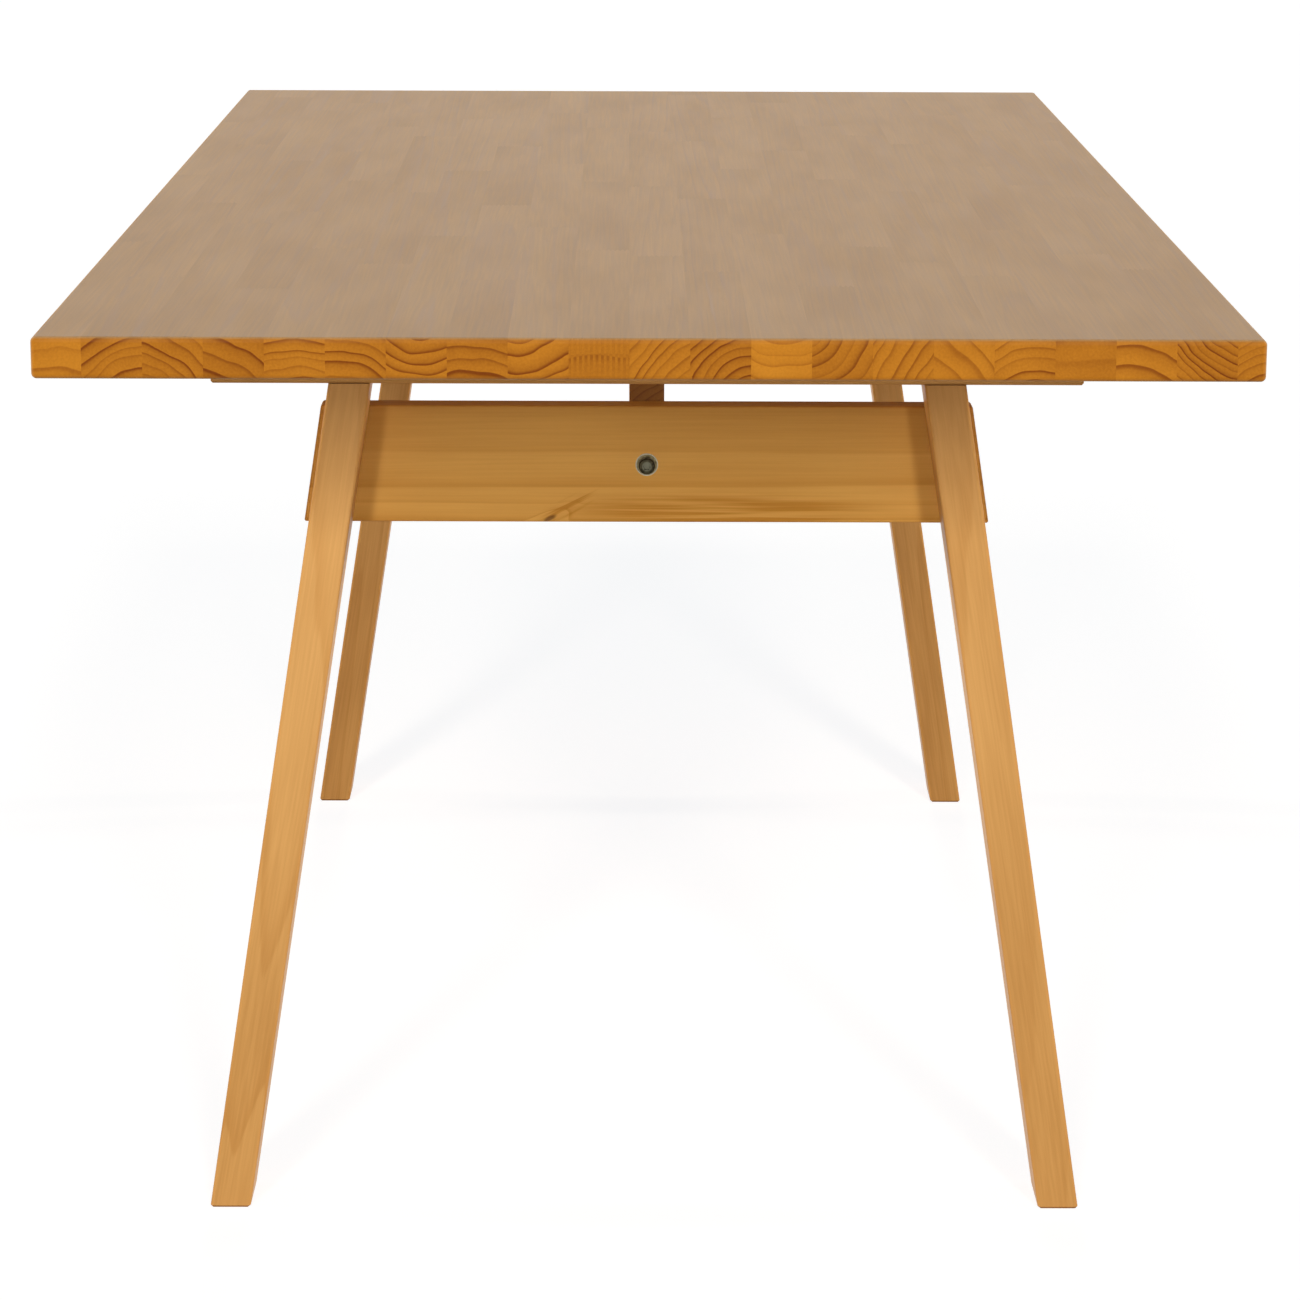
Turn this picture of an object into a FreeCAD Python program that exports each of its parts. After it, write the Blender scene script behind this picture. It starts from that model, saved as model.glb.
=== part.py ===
# Knock-down dining table of edge-glued pine, in millimetres.
#
# X runs across the table, Y along it and Z up. The origin is on the floor under the middle of the top.
# Someone at the table's front end looks along +Y, so the front trestle is at -Y and left is at -X.
#
# Twenty-one staves are glued edge to edge into the top. Two trestles carry it: each has two splayed
# legs under a batten, and a cross board on the legs' inner faces. One rail on edge ties the cross boards
# together, with a bolt and a barrel nut at each end. The front trestle is drawn, and the rear one is its
# mirror image.

import FreeCAD
import Part
import math
import os
import re

import Sketcher

# Driving dimensions. Every other size and place below is worked out from these.
SIZES = {
    # Whole table
    "table_length": 1800,
    "table_width": 900,
    "table_height": 760,
    "end_overhang": 237,  # from the end of the top to the legs' outer faces
    # Top
    "top_thickness": 31,
    "top_edge_round": 4,
    "left_stave_width": 37,  # the panel is sawn to width, so its side staves are narrower
    "right_stave_width": 21.5,
    # Battens, as deep along the table as the legs under them
    "batten_length": 686,
    "batten_height": 43,
    "batten_edge_round": 3,
    "batten_end_bevel": 1.5,
    # Legs
    "leg_width": 33,  # level, across the sole
    "leg_depth": 60,
    "leg_edge_round": 3,
    "foot_spread": 714,  # outer face to outer face on the floor
    "leg_top_spread": 501.5,  # outer face to outer face under the batten
    "sole_bevel": 2,
    # Cross boards
    "board_height": 95,
    "board_thickness": 25,
    "board_drop": 27.5,  # open gap between batten and board
    "board_end_reach": 6,  # how far the ends pass the legs' outer faces
    "board_edge_round": 2,
    "board_end_bevel": 1.2,
    # Centre rail
    "rail_thickness": 28,
    "rail_height": 118,
    "rail_edge_round": 3,
    # Bolts that hold the rail, with their washers and barrel nuts
    "bolt_diameter": 8,
    "bolt_head_diameter": 13,
    "bolt_head_height": 8,
    "bolt_head_bevel": 0.8,
    "bolt_socket_width": 6,
    "bolt_socket_depth": 4,
    "bolt_end_bevel": 1,
    "bolt_past_nut": 8,
    "bolt_hole_play": 1,
    "bolt_hole_room": 6,
    "washer_diameter": 18,
    "washer_thickness": 1.6,
    "washer_play": 0.4,
    "nut_diameter": 12,
    "nut_inset": 50,  # from the rail's end to the nut's axis
    "nut_cover": 3,  # from each side of the rail to the nut's end
    "nut_slot_width": 1.6,
    "nut_slot_depth": 2,
    # Dowels between legs and battens
    "leg_dowel_diameter": 10,
    "leg_dowel_length": 50,
    "leg_dowel_spacing": 30,
    # Dowels between rail and cross boards
    "rail_dowel_diameter": 8,
    "rail_dowel_in_board": 14,
    "rail_dowel_in_rail": 24,
    "dowel_bevel": 1,
    "dowel_room": 1,  # left free at the bottom of a dowel's hole
    # Countersunk screws through the cross boards into the legs
    "board_screw_diameter": 5,
    "board_screw_head_diameter": 9.6,
    "board_screw_bite": 32,
    "board_screw_margin": 22,  # from the board's long edges
    # Pan-head screws through the battens into the top
    "top_screw_diameter": 5,
    "top_screw_head_diameter": 10.4,
    "top_screw_head_height": 3.6,
    "top_screw_head_bevel": 1.6,
    "top_screw_grip": 28,  # wood between the screw's head and the top
    "top_screw_bite": 17,
    "top_screw_travel": 3.5,  # either way, for the top's movement across the grain
    "screw_tip": 6,
    "screw_room": 1,  # left free past a screw's tip
    # Fits and cuts
    "fit": 0.2,  # on the diameter, between a pin and its bore
    "overrun": 2,  # how far a through cut passes the far face
}

FULL_STAVES = 19
HEX_SIDES = 6
COUNTERSINK_ANGLE = 90
NEAR = 1e-6  # places closer than this are the same place

# How a sketch numbers the points of a line, arc or circle
START, END, CENTRE = range(1, 4)

# Places of pieces as shares of the sizes that they follow
SHARES = {
    "inner_screw_share": 0.6,  # of the way from the middle to the leg
    "outer_screw_share": 0.65,  # of the way from the leg to the batten's end
    "rail_dowel_share": 0.6,  # of the way from the bolt to the edge of the rail's seat
}

# Levels and faces, as formulas of the driving dimensions
UNDERSIDE = "(table_height - top_thickness)"
LEG_TOP = f"({UNDERSIDE} - batten_height)"
LEAN = f"((foot_spread - leg_top_spread) / 2 / {LEG_TOP})"
LEG_FRONT = "(end_overhang - table_length / 2)"
LEG_BACK = f"({LEG_FRONT} + leg_depth)"
LEG_MIDDLE = f"({LEG_FRONT} + leg_depth / 2)"
BOARD_BACK = f"({LEG_BACK} + board_thickness)"
BOARD_TOP = f"({LEG_TOP} - board_drop)"
BOARD_BOTTOM = f"({BOARD_TOP} - board_height)"
RAIL_BOTTOM = f"({LEG_TOP} - rail_height)"
BOLT_LEVEL = f"(({BOARD_TOP} + {BOARD_BOTTOM}) / 2)"
SEAT_BOTTOM = f"max({RAIL_BOTTOM}; {BOARD_BOTTOM})"
RAIL_DOWEL_LEVELS = (
    f"({BOLT_LEVEL} - rail_dowel_share * ({BOLT_LEVEL} - {SEAT_BOTTOM}))",
    f"({BOLT_LEVEL} + rail_dowel_share * ({BOARD_TOP} - {BOLT_LEVEL}))",
)
BOARD_SCREW_LEVELS = (
    f"({BOARD_BOTTOM} + board_screw_margin)",
    f"({BOARD_TOP} - board_screw_margin)",
)
BOLT_LENGTH = "(washer_thickness + board_thickness + nut_inset + nut_diameter / 2 + bolt_past_nut)"
NUT_LENGTH = "(rail_thickness - 2 * nut_cover)"
STAVE_WIDTH = f"((table_width - left_stave_width - right_stave_width) / {FULL_STAVES})"

ACROSS = FreeCAD.Vector(1, 0, 0)
ALONG = FreeCAD.Vector(0, 1, 0)
UP = FreeCAD.Vector(0, 0, 1)

doc = FreeCAD.newDocument("DiningTable")
sheet = doc.addObject("Spreadsheet::Sheet", "Sizes")


def fill_sheet():
    """Write each driving dimension and share into its own cell, under its own alias."""
    for row, (name, number) in enumerate({**SIZES, **SHARES}.items(), 1):
        sheet.set(f"A{row}", name)
        sheet.set(f"B{row}", str(number))
        sheet.setAlias(f"B{row}", name)
    doc.recompute()


def formula(text):
    """Point every size that a formula names at its cell."""
    known = {**SIZES, **SHARES}
    return re.sub(r"[a-z_]+", lambda word: f"Sizes.{word[0]}" if word[0] in known else word[0], text)


def value(text):
    """Work out a formula as a number."""
    return float(sheet.evalExpression(formula(text)))


def new_body(label):
    """Start a piece under its own label."""
    body = doc.addObject("PartDesign::Body", label)
    body.Label = label
    return body


def origin_feature(body, role):
    """Find one of a body's own origin planes or axes."""
    return next(feature for feature in body.Origin.OriginFeatures if feature.Role == role)


def put(piece, x="0", y="0", z="0"):
    """Place a piece by formulas."""
    for axis, text in zip("xyz", (x, y, z)):
        piece.setExpression(f"Placement.Base.{axis}", formula(text))


def new_sketch(body, plane, level="0"):
    """Start a sketch on an origin plane of its body, at a level along X, Y or Z."""
    sketch = body.newObject("Sketcher::SketchObject", f"{body.Name}_sketch")
    sketch.AttachmentSupport = [(origin_feature(body, plane), "")]
    sketch.MapMode = "FlatFace"
    along_normal = f"-({level})" if plane == "XZ_Plane" else level
    sketch.setExpression("AttachmentOffset.Base.z", formula(along_normal))
    return sketch


def hold_point(sketch, geometry, vertex, x, y):
    """Hold one point of a sketch at a place given by two formulas."""
    own_axis = -1  # the sketch's own axes start at its origin
    for kind, text in (("DistanceX", x), ("DistanceY", y)):
        constraint = Sketcher.Constraint(kind, own_axis, START, geometry, vertex, value(text))
        number = sketch.addConstraint(constraint)
        sketch.setExpression(f"Constraints[{number}]", formula(text))


def hold_size(sketch, kind, geometry, text):
    """Hold a radius or diameter of a sketch at a formula."""
    number = sketch.addConstraint(Sketcher.Constraint(kind, geometry, value(text)))
    sketch.setExpression(f"Constraints[{number}]", formula(text))


def outline(sketch, points):
    """Draw a closed outline of straight lines through points, each a pair of formulas."""
    places = [FreeCAD.Vector(value(x), value(y), 0) for x, y in points]
    first = sketch.GeometryCount
    for here, there in zip(places, places[1:] + places[:1]):
        sketch.addGeometry(Part.LineSegment(here, there))
    for number, (x, y) in enumerate(points):
        line = first + number
        following = first + (number + 1) % len(points)
        sketch.addConstraint(Sketcher.Constraint("Coincident", line, END, following, START))
        hold_point(sketch, line, START, x, y)


def rectangle(sketch, left, bottom, right, top):
    """Draw a rectangle between two pairs of formulas."""
    outline(sketch, [(left, bottom), (right, bottom), (right, top), (left, top)])


def circle(sketch, x, y, diameter):
    """Draw a circle about a place given by two formulas."""
    centre = FreeCAD.Vector(value(x), value(y), 0)
    number = sketch.addGeometry(Part.Circle(centre, UP, value(diameter) / 2))
    hold_point(sketch, number, CENTRE, x, y)
    hold_size(sketch, "Diameter", number, diameter)


def slot(sketch, x, y, travel, diameter):
    """Draw a round-ended slot along the sketch's X, in which a round pin travels either way."""
    radius = value(diameter) / 2
    ends = [(f"{x} - {travel}", y), (f"{x} + {travel}", y)]
    left, right = [FreeCAD.Vector(value(a), value(b), 0) for a, b in ends]
    rise = FreeCAD.Vector(0, radius, 0)
    quarter = math.pi / 2
    left_end = Part.ArcOfCircle(Part.Circle(left, UP, radius), quarter, 3 * quarter)
    right_end = Part.ArcOfCircle(Part.Circle(right, UP, radius), -quarter, quarter)
    left_arc = sketch.addGeometry(left_end)
    low_line = sketch.addGeometry(Part.LineSegment(left - rise, right - rise))
    right_arc = sketch.addGeometry(right_end)
    high_line = sketch.addGeometry(Part.LineSegment(right + rise, left + rise))
    ring = (left_arc, low_line, right_arc, high_line)
    for here, there in zip(ring, ring[1:] + ring[:1]):
        sketch.addConstraint(Sketcher.Constraint("Tangent", here, END, there, START))
    sketch.addConstraint(Sketcher.Constraint("Equal", left_arc, right_arc))
    hold_size(sketch, "Radius", left_arc, f"({diameter}) / 2")
    for arc, (a, b) in zip((left_arc, right_arc), ends):
        hold_point(sketch, arc, CENTRE, a, b)


def pad(body, sketch, length, against_normal=False):
    """Raise a sketch into a solid along its normal, or against it."""
    feature = body.newObject("PartDesign::Pad", f"{body.Name}_pad")
    feature.Profile = sketch
    feature.Reversed = against_normal
    feature.setExpression("Length", formula(length))
    doc.recompute()


def pocket(body, sketch, depth, along_normal=False):
    """Cut a sketch into its body against its normal, or along it."""
    before = body.Shape.Volume
    feature = body.newObject("PartDesign::Pocket", f"{body.Name}_pocket")
    feature.Profile = sketch
    feature.Reversed = along_normal
    feature.setExpression("Length", formula(depth))
    doc.recompute()
    if feature.Shape.isNull() or feature.Shape.Volume >= before:
        raise RuntimeError(f"{feature.Name} takes nothing away")


def countersunk(body, sketch, diameter, head_diameter, along_normal=False):
    """Bore every circle of a sketch through its body, with a cone for a screw's head at its face."""
    doc.recompute()
    before = body.Shape.Volume
    feature = body.newObject("PartDesign::Hole", f"{body.Name}_hole")
    feature.Profile = sketch
    doc.recompute()
    feature.ThreadType = "None"
    feature.DepthType = "ThroughAll"
    feature.HoleCutType = "Countersink"
    feature.HoleCutCustomValues = True
    feature.HoleCutCountersinkAngle = COUNTERSINK_ANGLE
    feature.Reversed = along_normal
    feature.setExpression("Diameter", formula(diameter))
    feature.setExpression("HoleCutDiameter", formula(head_diameter))
    doc.recompute()
    if feature.Shape.isNull() or feature.Shape.Volume >= before:
        raise RuntimeError(f"{feature.Name} takes nothing away")


def turn(body, points, axis):
    """Turn an outline of formulas about the body's Y or Z axis, beside which it is drawn."""
    plane = "XY_Plane" if axis == "Y_Axis" else "XZ_Plane"
    sketch = new_sketch(body, plane)
    outline(sketch, points)
    feature = body.newObject("PartDesign::Revolution", f"{body.Name}_turn")
    feature.Profile = sketch
    feature.ReferenceAxis = (origin_feature(body, axis), [""])
    feature.Angle = 360
    doc.recompute()


def dress(body, kind, size, amount, chosen):
    """Round or bevel the edges of a body that the test picks."""
    base = body.Tip
    names = [f"Edge{number}" for number, edge in enumerate(base.Shape.Edges, 1) if chosen(edge)]
    if not names:
        raise RuntimeError(f"{body.Name} has no edge to dress")
    feature = body.newObject(f"PartDesign::{kind}", f"{body.Name}_{kind.lower()}")
    feature.Base = (base, names)
    feature.setExpression(size, formula(amount))
    doc.recompute()


def round_edges(body, radius, chosen):
    """Round the edges that the test picks."""
    dress(body, "Fillet", "Radius", radius, chosen)


def bevel_edges(body, width, chosen):
    """Bevel the edges that the test picks."""
    dress(body, "Chamfer", "Size", width, chosen)


def runs(edge, direction):
    """Tell whether an edge is a straight line along a direction."""
    if len(edge.Vertexes) != 2 or not isinstance(edge.Curve, Part.Line):
        return False
    way = edge.Vertexes[1].Point - edge.Vertexes[0].Point
    return way.normalize().cross(direction).Length < NEAR


def is_level(edge):
    """Tell whether an edge keeps one height."""
    return edge.BoundBox.ZLength < NEAR


def stands_at(edge, height):
    """Tell whether the whole edge lies at a height given by a formula."""
    return is_level(edge) and abs(edge.BoundBox.ZMin - value(height)) < NEAR


def is_sawn_end(edge):
    """Tell whether an edge goes round the sawn end of a piece that lies across the table."""
    return not runs(edge, ACROSS)


def mirrored(piece, label, normal):
    """Make the mirror image of a piece across the middle of the table."""
    twin = doc.addObject("Part::Mirroring", label)
    twin.Label = label
    twin.Source = piece
    twin.Normal = normal
    return twin


def copies(label, piece, places):
    """Group copies of a piece, each at its own place, as separate solids under one label."""
    links = []
    for number, place in enumerate(places, 1):
        link = doc.addObject("App::Link", f"{label}_{number}")
        link.LinkedObject = piece
        put(link, *place)
        links.append(link)
    group = doc.addObject("Part::Compound", label)
    group.Label = label
    group.Links = links
    return group


def leg_outer(level):
    """Formula for how far a leg's outer face stands from the middle of the table at a level."""
    return f"(foot_spread / 2 - {LEAN} * {level})"


def leg_centre(level):
    """Formula for how far a leg's centre line stands from the middle of the table at a level."""
    return f"({leg_outer(level)} - leg_width / 2)"


def top_screw_places():
    """Formulas for where one batten's screws stand across the table, and whether each has a slot."""
    inner = "(inner_screw_share * (leg_top_spread / 2 - leg_width))"
    outer = "(leg_top_spread / 2 + outer_screw_share * (batten_length - leg_top_spread) / 2)"
    return [(f"-{outer}", True), (f"-{inner}", True), ("0", False), (inner, True), (outer, True)]


def leg_dowel_places():
    """Formulas for the places of the two dowels in the left leg of the front trestle."""
    middle = leg_centre(f"({LEG_TOP} - leg_dowel_length / 4)")
    return [(f"-{middle}", f"({LEG_MIDDLE} {sign} leg_dowel_spacing / 2)") for sign in "-+"]


def stave(number):
    """Make one stave of the top, rounded at its ends and, on a side stave, along the table's side."""
    last = FULL_STAVES + 2
    width = {1: "left_stave_width", last: "right_stave_width"}.get(number, STAVE_WIDTH)
    left = "(-table_width / 2)"
    if number > 1:
        left = f"(left_stave_width - table_width / 2 + {number - 2} * {STAVE_WIDTH})"
    body = new_body(f"top_stave_{number:02d}")
    put(body, left, "-table_length / 2", UNDERSIDE)
    sketch = new_sketch(body, "XY_Plane")
    rectangle(sketch, "0", "0", width, "table_length")
    pad(body, sketch, "top_thickness")

    side = {1: 0, last: value(width)}.get(number)

    def is_outer(edge):
        """Tell whether an edge lies on the outside of the finished top."""
        on_side = side is not None and abs(edge.CenterOfMass.x - side) < NEAR
        return on_side or runs(edge, ACROSS)

    round_edges(body, "top_edge_round", is_outer)

    bore = "(top_screw_diameter + fit)"
    lowest = value(f"{left} - {bore} / 2")
    highest = value(f"{left} + {width} + {bore} / 2")
    hits = [x for x, _ in top_screw_places() if lowest < value(x) < highest]
    if hits:
        holes = new_sketch(body, "XY_Plane")
        inset = "(end_overhang + leg_depth / 2)"
        for x in hits:
            circle(holes, f"{x} - {left}", inset, bore)
            circle(holes, f"{x} - {left}", f"table_length - {inset}", bore)
        pocket(body, holes, "top_screw_bite + screw_room", along_normal=True)
    return body


def batten():
    """Make the front batten, with dowel holes for the legs and sunk slots for the top's screws."""
    body = new_body("batten_front")
    sketch = new_sketch(body, "XY_Plane", LEG_TOP)
    rectangle(sketch, "-batten_length / 2", LEG_FRONT, "batten_length / 2", LEG_BACK)
    pad(body, sketch, "batten_height")
    round_edges(body, "batten_edge_round", lambda edge: stands_at(edge, LEG_TOP) and runs(edge, ACROSS))
    bevel_edges(body, "batten_end_bevel", is_sawn_end)

    sinks = new_sketch(body, "XY_Plane", LEG_TOP)
    holes = new_sketch(body, "XY_Plane", LEG_TOP)
    cuts = [(sinks, "top_screw_head_diameter + fit"), (holes, "top_screw_diameter + fit")]
    for x, slotted in top_screw_places():
        for cut, width in cuts:
            if slotted:
                slot(cut, x, LEG_MIDDLE, "top_screw_travel", width)
            else:
                circle(cut, x, LEG_MIDDLE, width)
    pocket(body, sinks, "batten_height - top_screw_grip", along_normal=True)
    pocket(body, holes, "batten_height + overrun", along_normal=True)

    dowels = new_sketch(body, "XY_Plane", LEG_TOP)
    for x, y in leg_dowel_places():
        circle(dowels, x, y, "leg_dowel_diameter + fit")
        circle(dowels, f"-({x})", y, "leg_dowel_diameter + fit")
    pocket(body, dowels, "leg_dowel_length / 2 + dowel_room", along_normal=True)
    return body


def leg():
    """Make the left leg of the front trestle: a leaning bar, cut level at both ends, with its holes."""
    body = new_body("leg_front_left")
    sketch = new_sketch(body, "XZ_Plane", LEG_FRONT)
    outline(sketch, [
        ("-foot_spread / 2", "0"),
        ("leg_width - foot_spread / 2", "0"),
        ("leg_width - leg_top_spread / 2", LEG_TOP),
        ("-leg_top_spread / 2", LEG_TOP),
    ])
    pad(body, sketch, "leg_depth", against_normal=True)
    round_edges(body, "leg_edge_round", lambda edge: not is_level(edge))
    bevel_edges(body, "sole_bevel", lambda edge: stands_at(edge, "0"))

    dowels = new_sketch(body, "XY_Plane", LEG_TOP)
    for x, y in leg_dowel_places():
        circle(dowels, x, y, "leg_dowel_diameter + fit")
    pocket(body, dowels, "leg_dowel_length / 2 + dowel_room")

    screws = new_sketch(body, "XZ_Plane", LEG_BACK)
    for level in BOARD_SCREW_LEVELS:
        circle(screws, f"-{leg_centre(level)}", level, "board_screw_diameter + fit")
    pocket(body, screws, "board_screw_bite + screw_room", along_normal=True)
    return body


def cross_board():
    """Make the front cross board, its ends sawn parallel to the legs, with its bored holes."""
    body = new_body("cross_board_front")
    sketch = new_sketch(body, "XZ_Plane", LEG_BACK)
    low = f"({leg_outer(BOARD_BOTTOM)} + board_end_reach)"
    high = f"({leg_outer(BOARD_TOP)} + board_end_reach)"
    outline(sketch, [
        (f"-{low}", BOARD_BOTTOM),
        (low, BOARD_BOTTOM),
        (high, BOARD_TOP),
        (f"-{high}", BOARD_TOP),
    ])
    pad(body, sketch, "board_thickness", against_normal=True)
    round_edges(body, "board_edge_round", lambda edge: runs(edge, ACROSS))
    bevel_edges(body, "board_end_bevel", is_sawn_end)

    through = new_sketch(body, "XZ_Plane", LEG_BACK)
    circle(through, "0", BOLT_LEVEL, "bolt_diameter + bolt_hole_play")
    pocket(body, through, "board_thickness + overrun")

    dowels = new_sketch(body, "XZ_Plane", BOARD_BACK)
    for level in RAIL_DOWEL_LEVELS:
        circle(dowels, "0", level, "rail_dowel_diameter + fit")
    pocket(body, dowels, "rail_dowel_in_board + dowel_room", along_normal=True)

    screws = new_sketch(body, "XZ_Plane", BOARD_BACK)
    bore = "board_screw_diameter + fit"
    for level in BOARD_SCREW_LEVELS:
        circle(screws, f"-{leg_centre(level)}", level, bore)
        circle(screws, leg_centre(level), level, bore)
    countersunk(body, screws, bore, "board_screw_head_diameter + fit", along_normal=True)
    return body


def centre_rail():
    """Make the rail on edge, with a bolt hole, two dowel holes and a barrel nut's bore at each end."""
    body = new_body("centre_rail")
    sketch = new_sketch(body, "YZ_Plane", "-rail_thickness / 2")
    rectangle(sketch, BOARD_BACK, RAIL_BOTTOM, f"-{BOARD_BACK}", LEG_TOP)
    pad(body, sketch, "rail_thickness")
    round_edges(body, "rail_edge_round", lambda edge: runs(edge, ALONG))

    nuts = new_sketch(body, "YZ_Plane", "-rail_thickness / 2")
    for end, is_rear in ((BOARD_BACK, False), (f"(-{BOARD_BACK})", True)):
        bolts = new_sketch(body, "XZ_Plane", end)
        circle(bolts, "0", BOLT_LEVEL, "bolt_diameter + bolt_hole_play")
        depth = f"{BOLT_LENGTH} - washer_thickness - board_thickness + bolt_hole_room"
        pocket(body, bolts, depth, along_normal=is_rear)

        dowels = new_sketch(body, "XZ_Plane", end)
        for level in RAIL_DOWEL_LEVELS:
            circle(dowels, "0", level, "rail_dowel_diameter + fit")
        pocket(body, dowels, "rail_dowel_in_rail + dowel_room", along_normal=is_rear)

        inward = "-" if is_rear else "+"
        circle(nuts, f"{end} {inward} nut_inset", BOLT_LEVEL, "nut_diameter + fit")
    pocket(body, nuts, "rail_thickness - nut_cover", along_normal=True)
    return body


def rail_bolt():
    """Make the front bolt, turned about its axis, with a bevelled head and a six-sided socket."""
    body = new_body("rail_bolt_front")
    put(body, "0", f"{LEG_BACK} - washer_thickness", BOLT_LEVEL)
    turn(body, [
        ("0", "-bolt_head_height"),
        ("bolt_head_diameter / 2 - bolt_head_bevel", "-bolt_head_height"),
        ("bolt_head_diameter / 2", "bolt_head_bevel - bolt_head_height"),
        ("bolt_head_diameter / 2", "0"),
        ("bolt_diameter / 2", "0"),
        ("bolt_diameter / 2", f"{BOLT_LENGTH} - bolt_end_bevel"),
        ("bolt_diameter / 2 - bolt_end_bevel", BOLT_LENGTH),
        ("0", BOLT_LENGTH),
    ], "Y_Axis")

    socket = new_sketch(body, "XZ_Plane", "-bolt_head_height")
    corner = f"bolt_socket_width / 2 / cos({180 / HEX_SIDES})"
    turns = [360 / HEX_SIDES * number for number in range(HEX_SIDES)]
    outline(socket, [(f"{corner} * cos({angle})", f"{corner} * sin({angle})") for angle in turns])
    pocket(body, socket, "bolt_socket_depth")
    return body


def rail_washer():
    """Make the front bolt's washer, flat on the cross board."""
    body = new_body("rail_washer_front")
    put(body, "0", f"{LEG_BACK} - washer_thickness", BOLT_LEVEL)
    sketch = new_sketch(body, "XZ_Plane")
    circle(sketch, "0", "0", "washer_diameter")
    circle(sketch, "0", "0", "bolt_diameter + washer_play")
    pad(body, sketch, "washer_thickness", against_normal=True)
    return body


def barrel_nut():
    """Make the front barrel nut, a short bar across the rail, bored for the bolt and slotted."""
    body = new_body("barrel_nut_front")
    put(body, "0", f"{BOARD_BACK} + nut_inset", BOLT_LEVEL)
    sketch = new_sketch(body, "YZ_Plane", f"-{NUT_LENGTH} / 2")
    circle(sketch, "0", "0", "nut_diameter")
    pad(body, sketch, NUT_LENGTH)

    beside = "(nut_diameter / 2 + overrun)"
    bore = new_sketch(body, "XZ_Plane", f"-{beside}")
    circle(bore, "0", "0", "bolt_diameter + fit")
    pocket(body, bore, f"2 * {beside}")

    groove = new_sketch(body, "YZ_Plane", f"-{NUT_LENGTH} / 2")
    rectangle(groove, f"-{beside}", "-nut_slot_width / 2", beside, "nut_slot_width / 2")
    pocket(body, groove, "nut_slot_depth", along_normal=True)
    return body


def dowel(label, diameter, start, end, axis):
    """Make one dowel along an axis, bevelled at both ends."""
    body = new_body(label)
    turn(body, [
        ("0", start),
        (f"{diameter} / 2 - dowel_bevel", start),
        (f"{diameter} / 2", f"{start} + dowel_bevel"),
        (f"{diameter} / 2", f"{end} - dowel_bevel"),
        (f"{diameter} / 2 - dowel_bevel", end),
        ("0", end),
    ], axis)
    return body


def leg_dowels():
    """Make the four dowels that hold the front legs to their batten."""
    half = "leg_dowel_length / 2"
    piece = dowel("leg_dowel", "leg_dowel_diameter", f"-{half}", half, "Z_Axis")
    places = []
    for x, y in leg_dowel_places():
        places += [(x, y, LEG_TOP), (f"-({x})", y, LEG_TOP)]
    return copies("leg_dowels_front", piece, places)


def rail_dowels():
    """Make the two dowels that keep the front end of the rail from turning on its bolt."""
    start = "-rail_dowel_in_board"
    piece = dowel("rail_dowel", "rail_dowel_diameter", start, "rail_dowel_in_rail", "Y_Axis")
    places = [("0", BOARD_BACK, level) for level in RAIL_DOWEL_LEVELS]
    return copies("rail_dowels_front", piece, places)


def board_screws():
    """Make the four countersunk screws that hold the front cross board to its legs from the inside."""
    piece = new_body("board_screw")
    length = "(board_thickness + board_screw_bite)"
    turn(piece, [
        ("0", "0"),
        ("board_screw_head_diameter / 2", "0"),
        ("board_screw_diameter / 2", "(board_screw_diameter - board_screw_head_diameter) / 2"),
        ("board_screw_diameter / 2", f"screw_tip - {length}"),
        ("0", f"-{length}"),
    ], "Y_Axis")
    places = []
    for level in BOARD_SCREW_LEVELS:
        for side in "-+":
            places.append((f"{side}{leg_centre(level)}", BOARD_BACK, level))
    return copies("board_screws_front", piece, places)


def top_screws():
    """Make the five pan-head screws that hold the top to the front batten."""
    piece = new_body("top_screw")
    length = "(top_screw_grip + top_screw_bite)"
    turn(piece, [
        ("0", "-top_screw_head_height"),
        ("top_screw_head_diameter / 2 - top_screw_head_bevel", "-top_screw_head_height"),
        ("top_screw_head_diameter / 2", "top_screw_head_bevel - top_screw_head_height"),
        ("top_screw_head_diameter / 2", "0"),
        ("top_screw_diameter / 2", "0"),
        ("top_screw_diameter / 2", f"{length} - screw_tip"),
        ("0", length),
    ], "Z_Axis")
    seat = f"{UNDERSIDE} - top_screw_grip"
    places = [(x, LEG_MIDDLE, seat) for x, _ in top_screw_places()]
    return copies("top_screws_front", piece, places)


def check(pieces):
    """Stop if any object failed or any piece is not a sound solid."""
    for thing in doc.Objects:
        if "Invalid" in thing.State or "Error" in thing.State:
            raise RuntimeError(f"{thing.Name} failed")
    for piece in pieces:
        shape = piece.Shape
        if shape.isNull() or not shape.isValid() or shape.Volume <= 0:
            raise RuntimeError(f"{piece.Label} is not a sound solid")


def main():
    """Build every piece, test it and write its file."""
    fill_sheet()
    pieces = [stave(number) for number in range(1, FULL_STAVES + 3)]
    left_leg = leg()
    right_leg = mirrored(left_leg, "leg_front_right", ACROSS)
    trestle = [batten(), left_leg, right_leg, cross_board(), rail_bolt(), rail_washer(), barrel_nut()]
    trestle += [leg_dowels(), rail_dowels(), board_screws(), top_screws()]
    pieces += trestle
    pieces += [mirrored(piece, piece.Label.replace("front", "rear"), ALONG) for piece in trestle]
    pieces.append(centre_rail())
    doc.recompute()
    check(pieces)

    os.makedirs("parts", exist_ok=True)
    for piece in pieces:
        shape = piece.Shape
        shape.exportStep(f"parts/{piece.Label}.step")
        print(f"{piece.Label}: {len(shape.Solids)} solid(s), {shape.Volume:.0f} cubic millimetres")


main()
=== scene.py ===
"""Looks of a knock-down pine dining table: its wood, lacquer and steel, a plain studio and a camera."""

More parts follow.
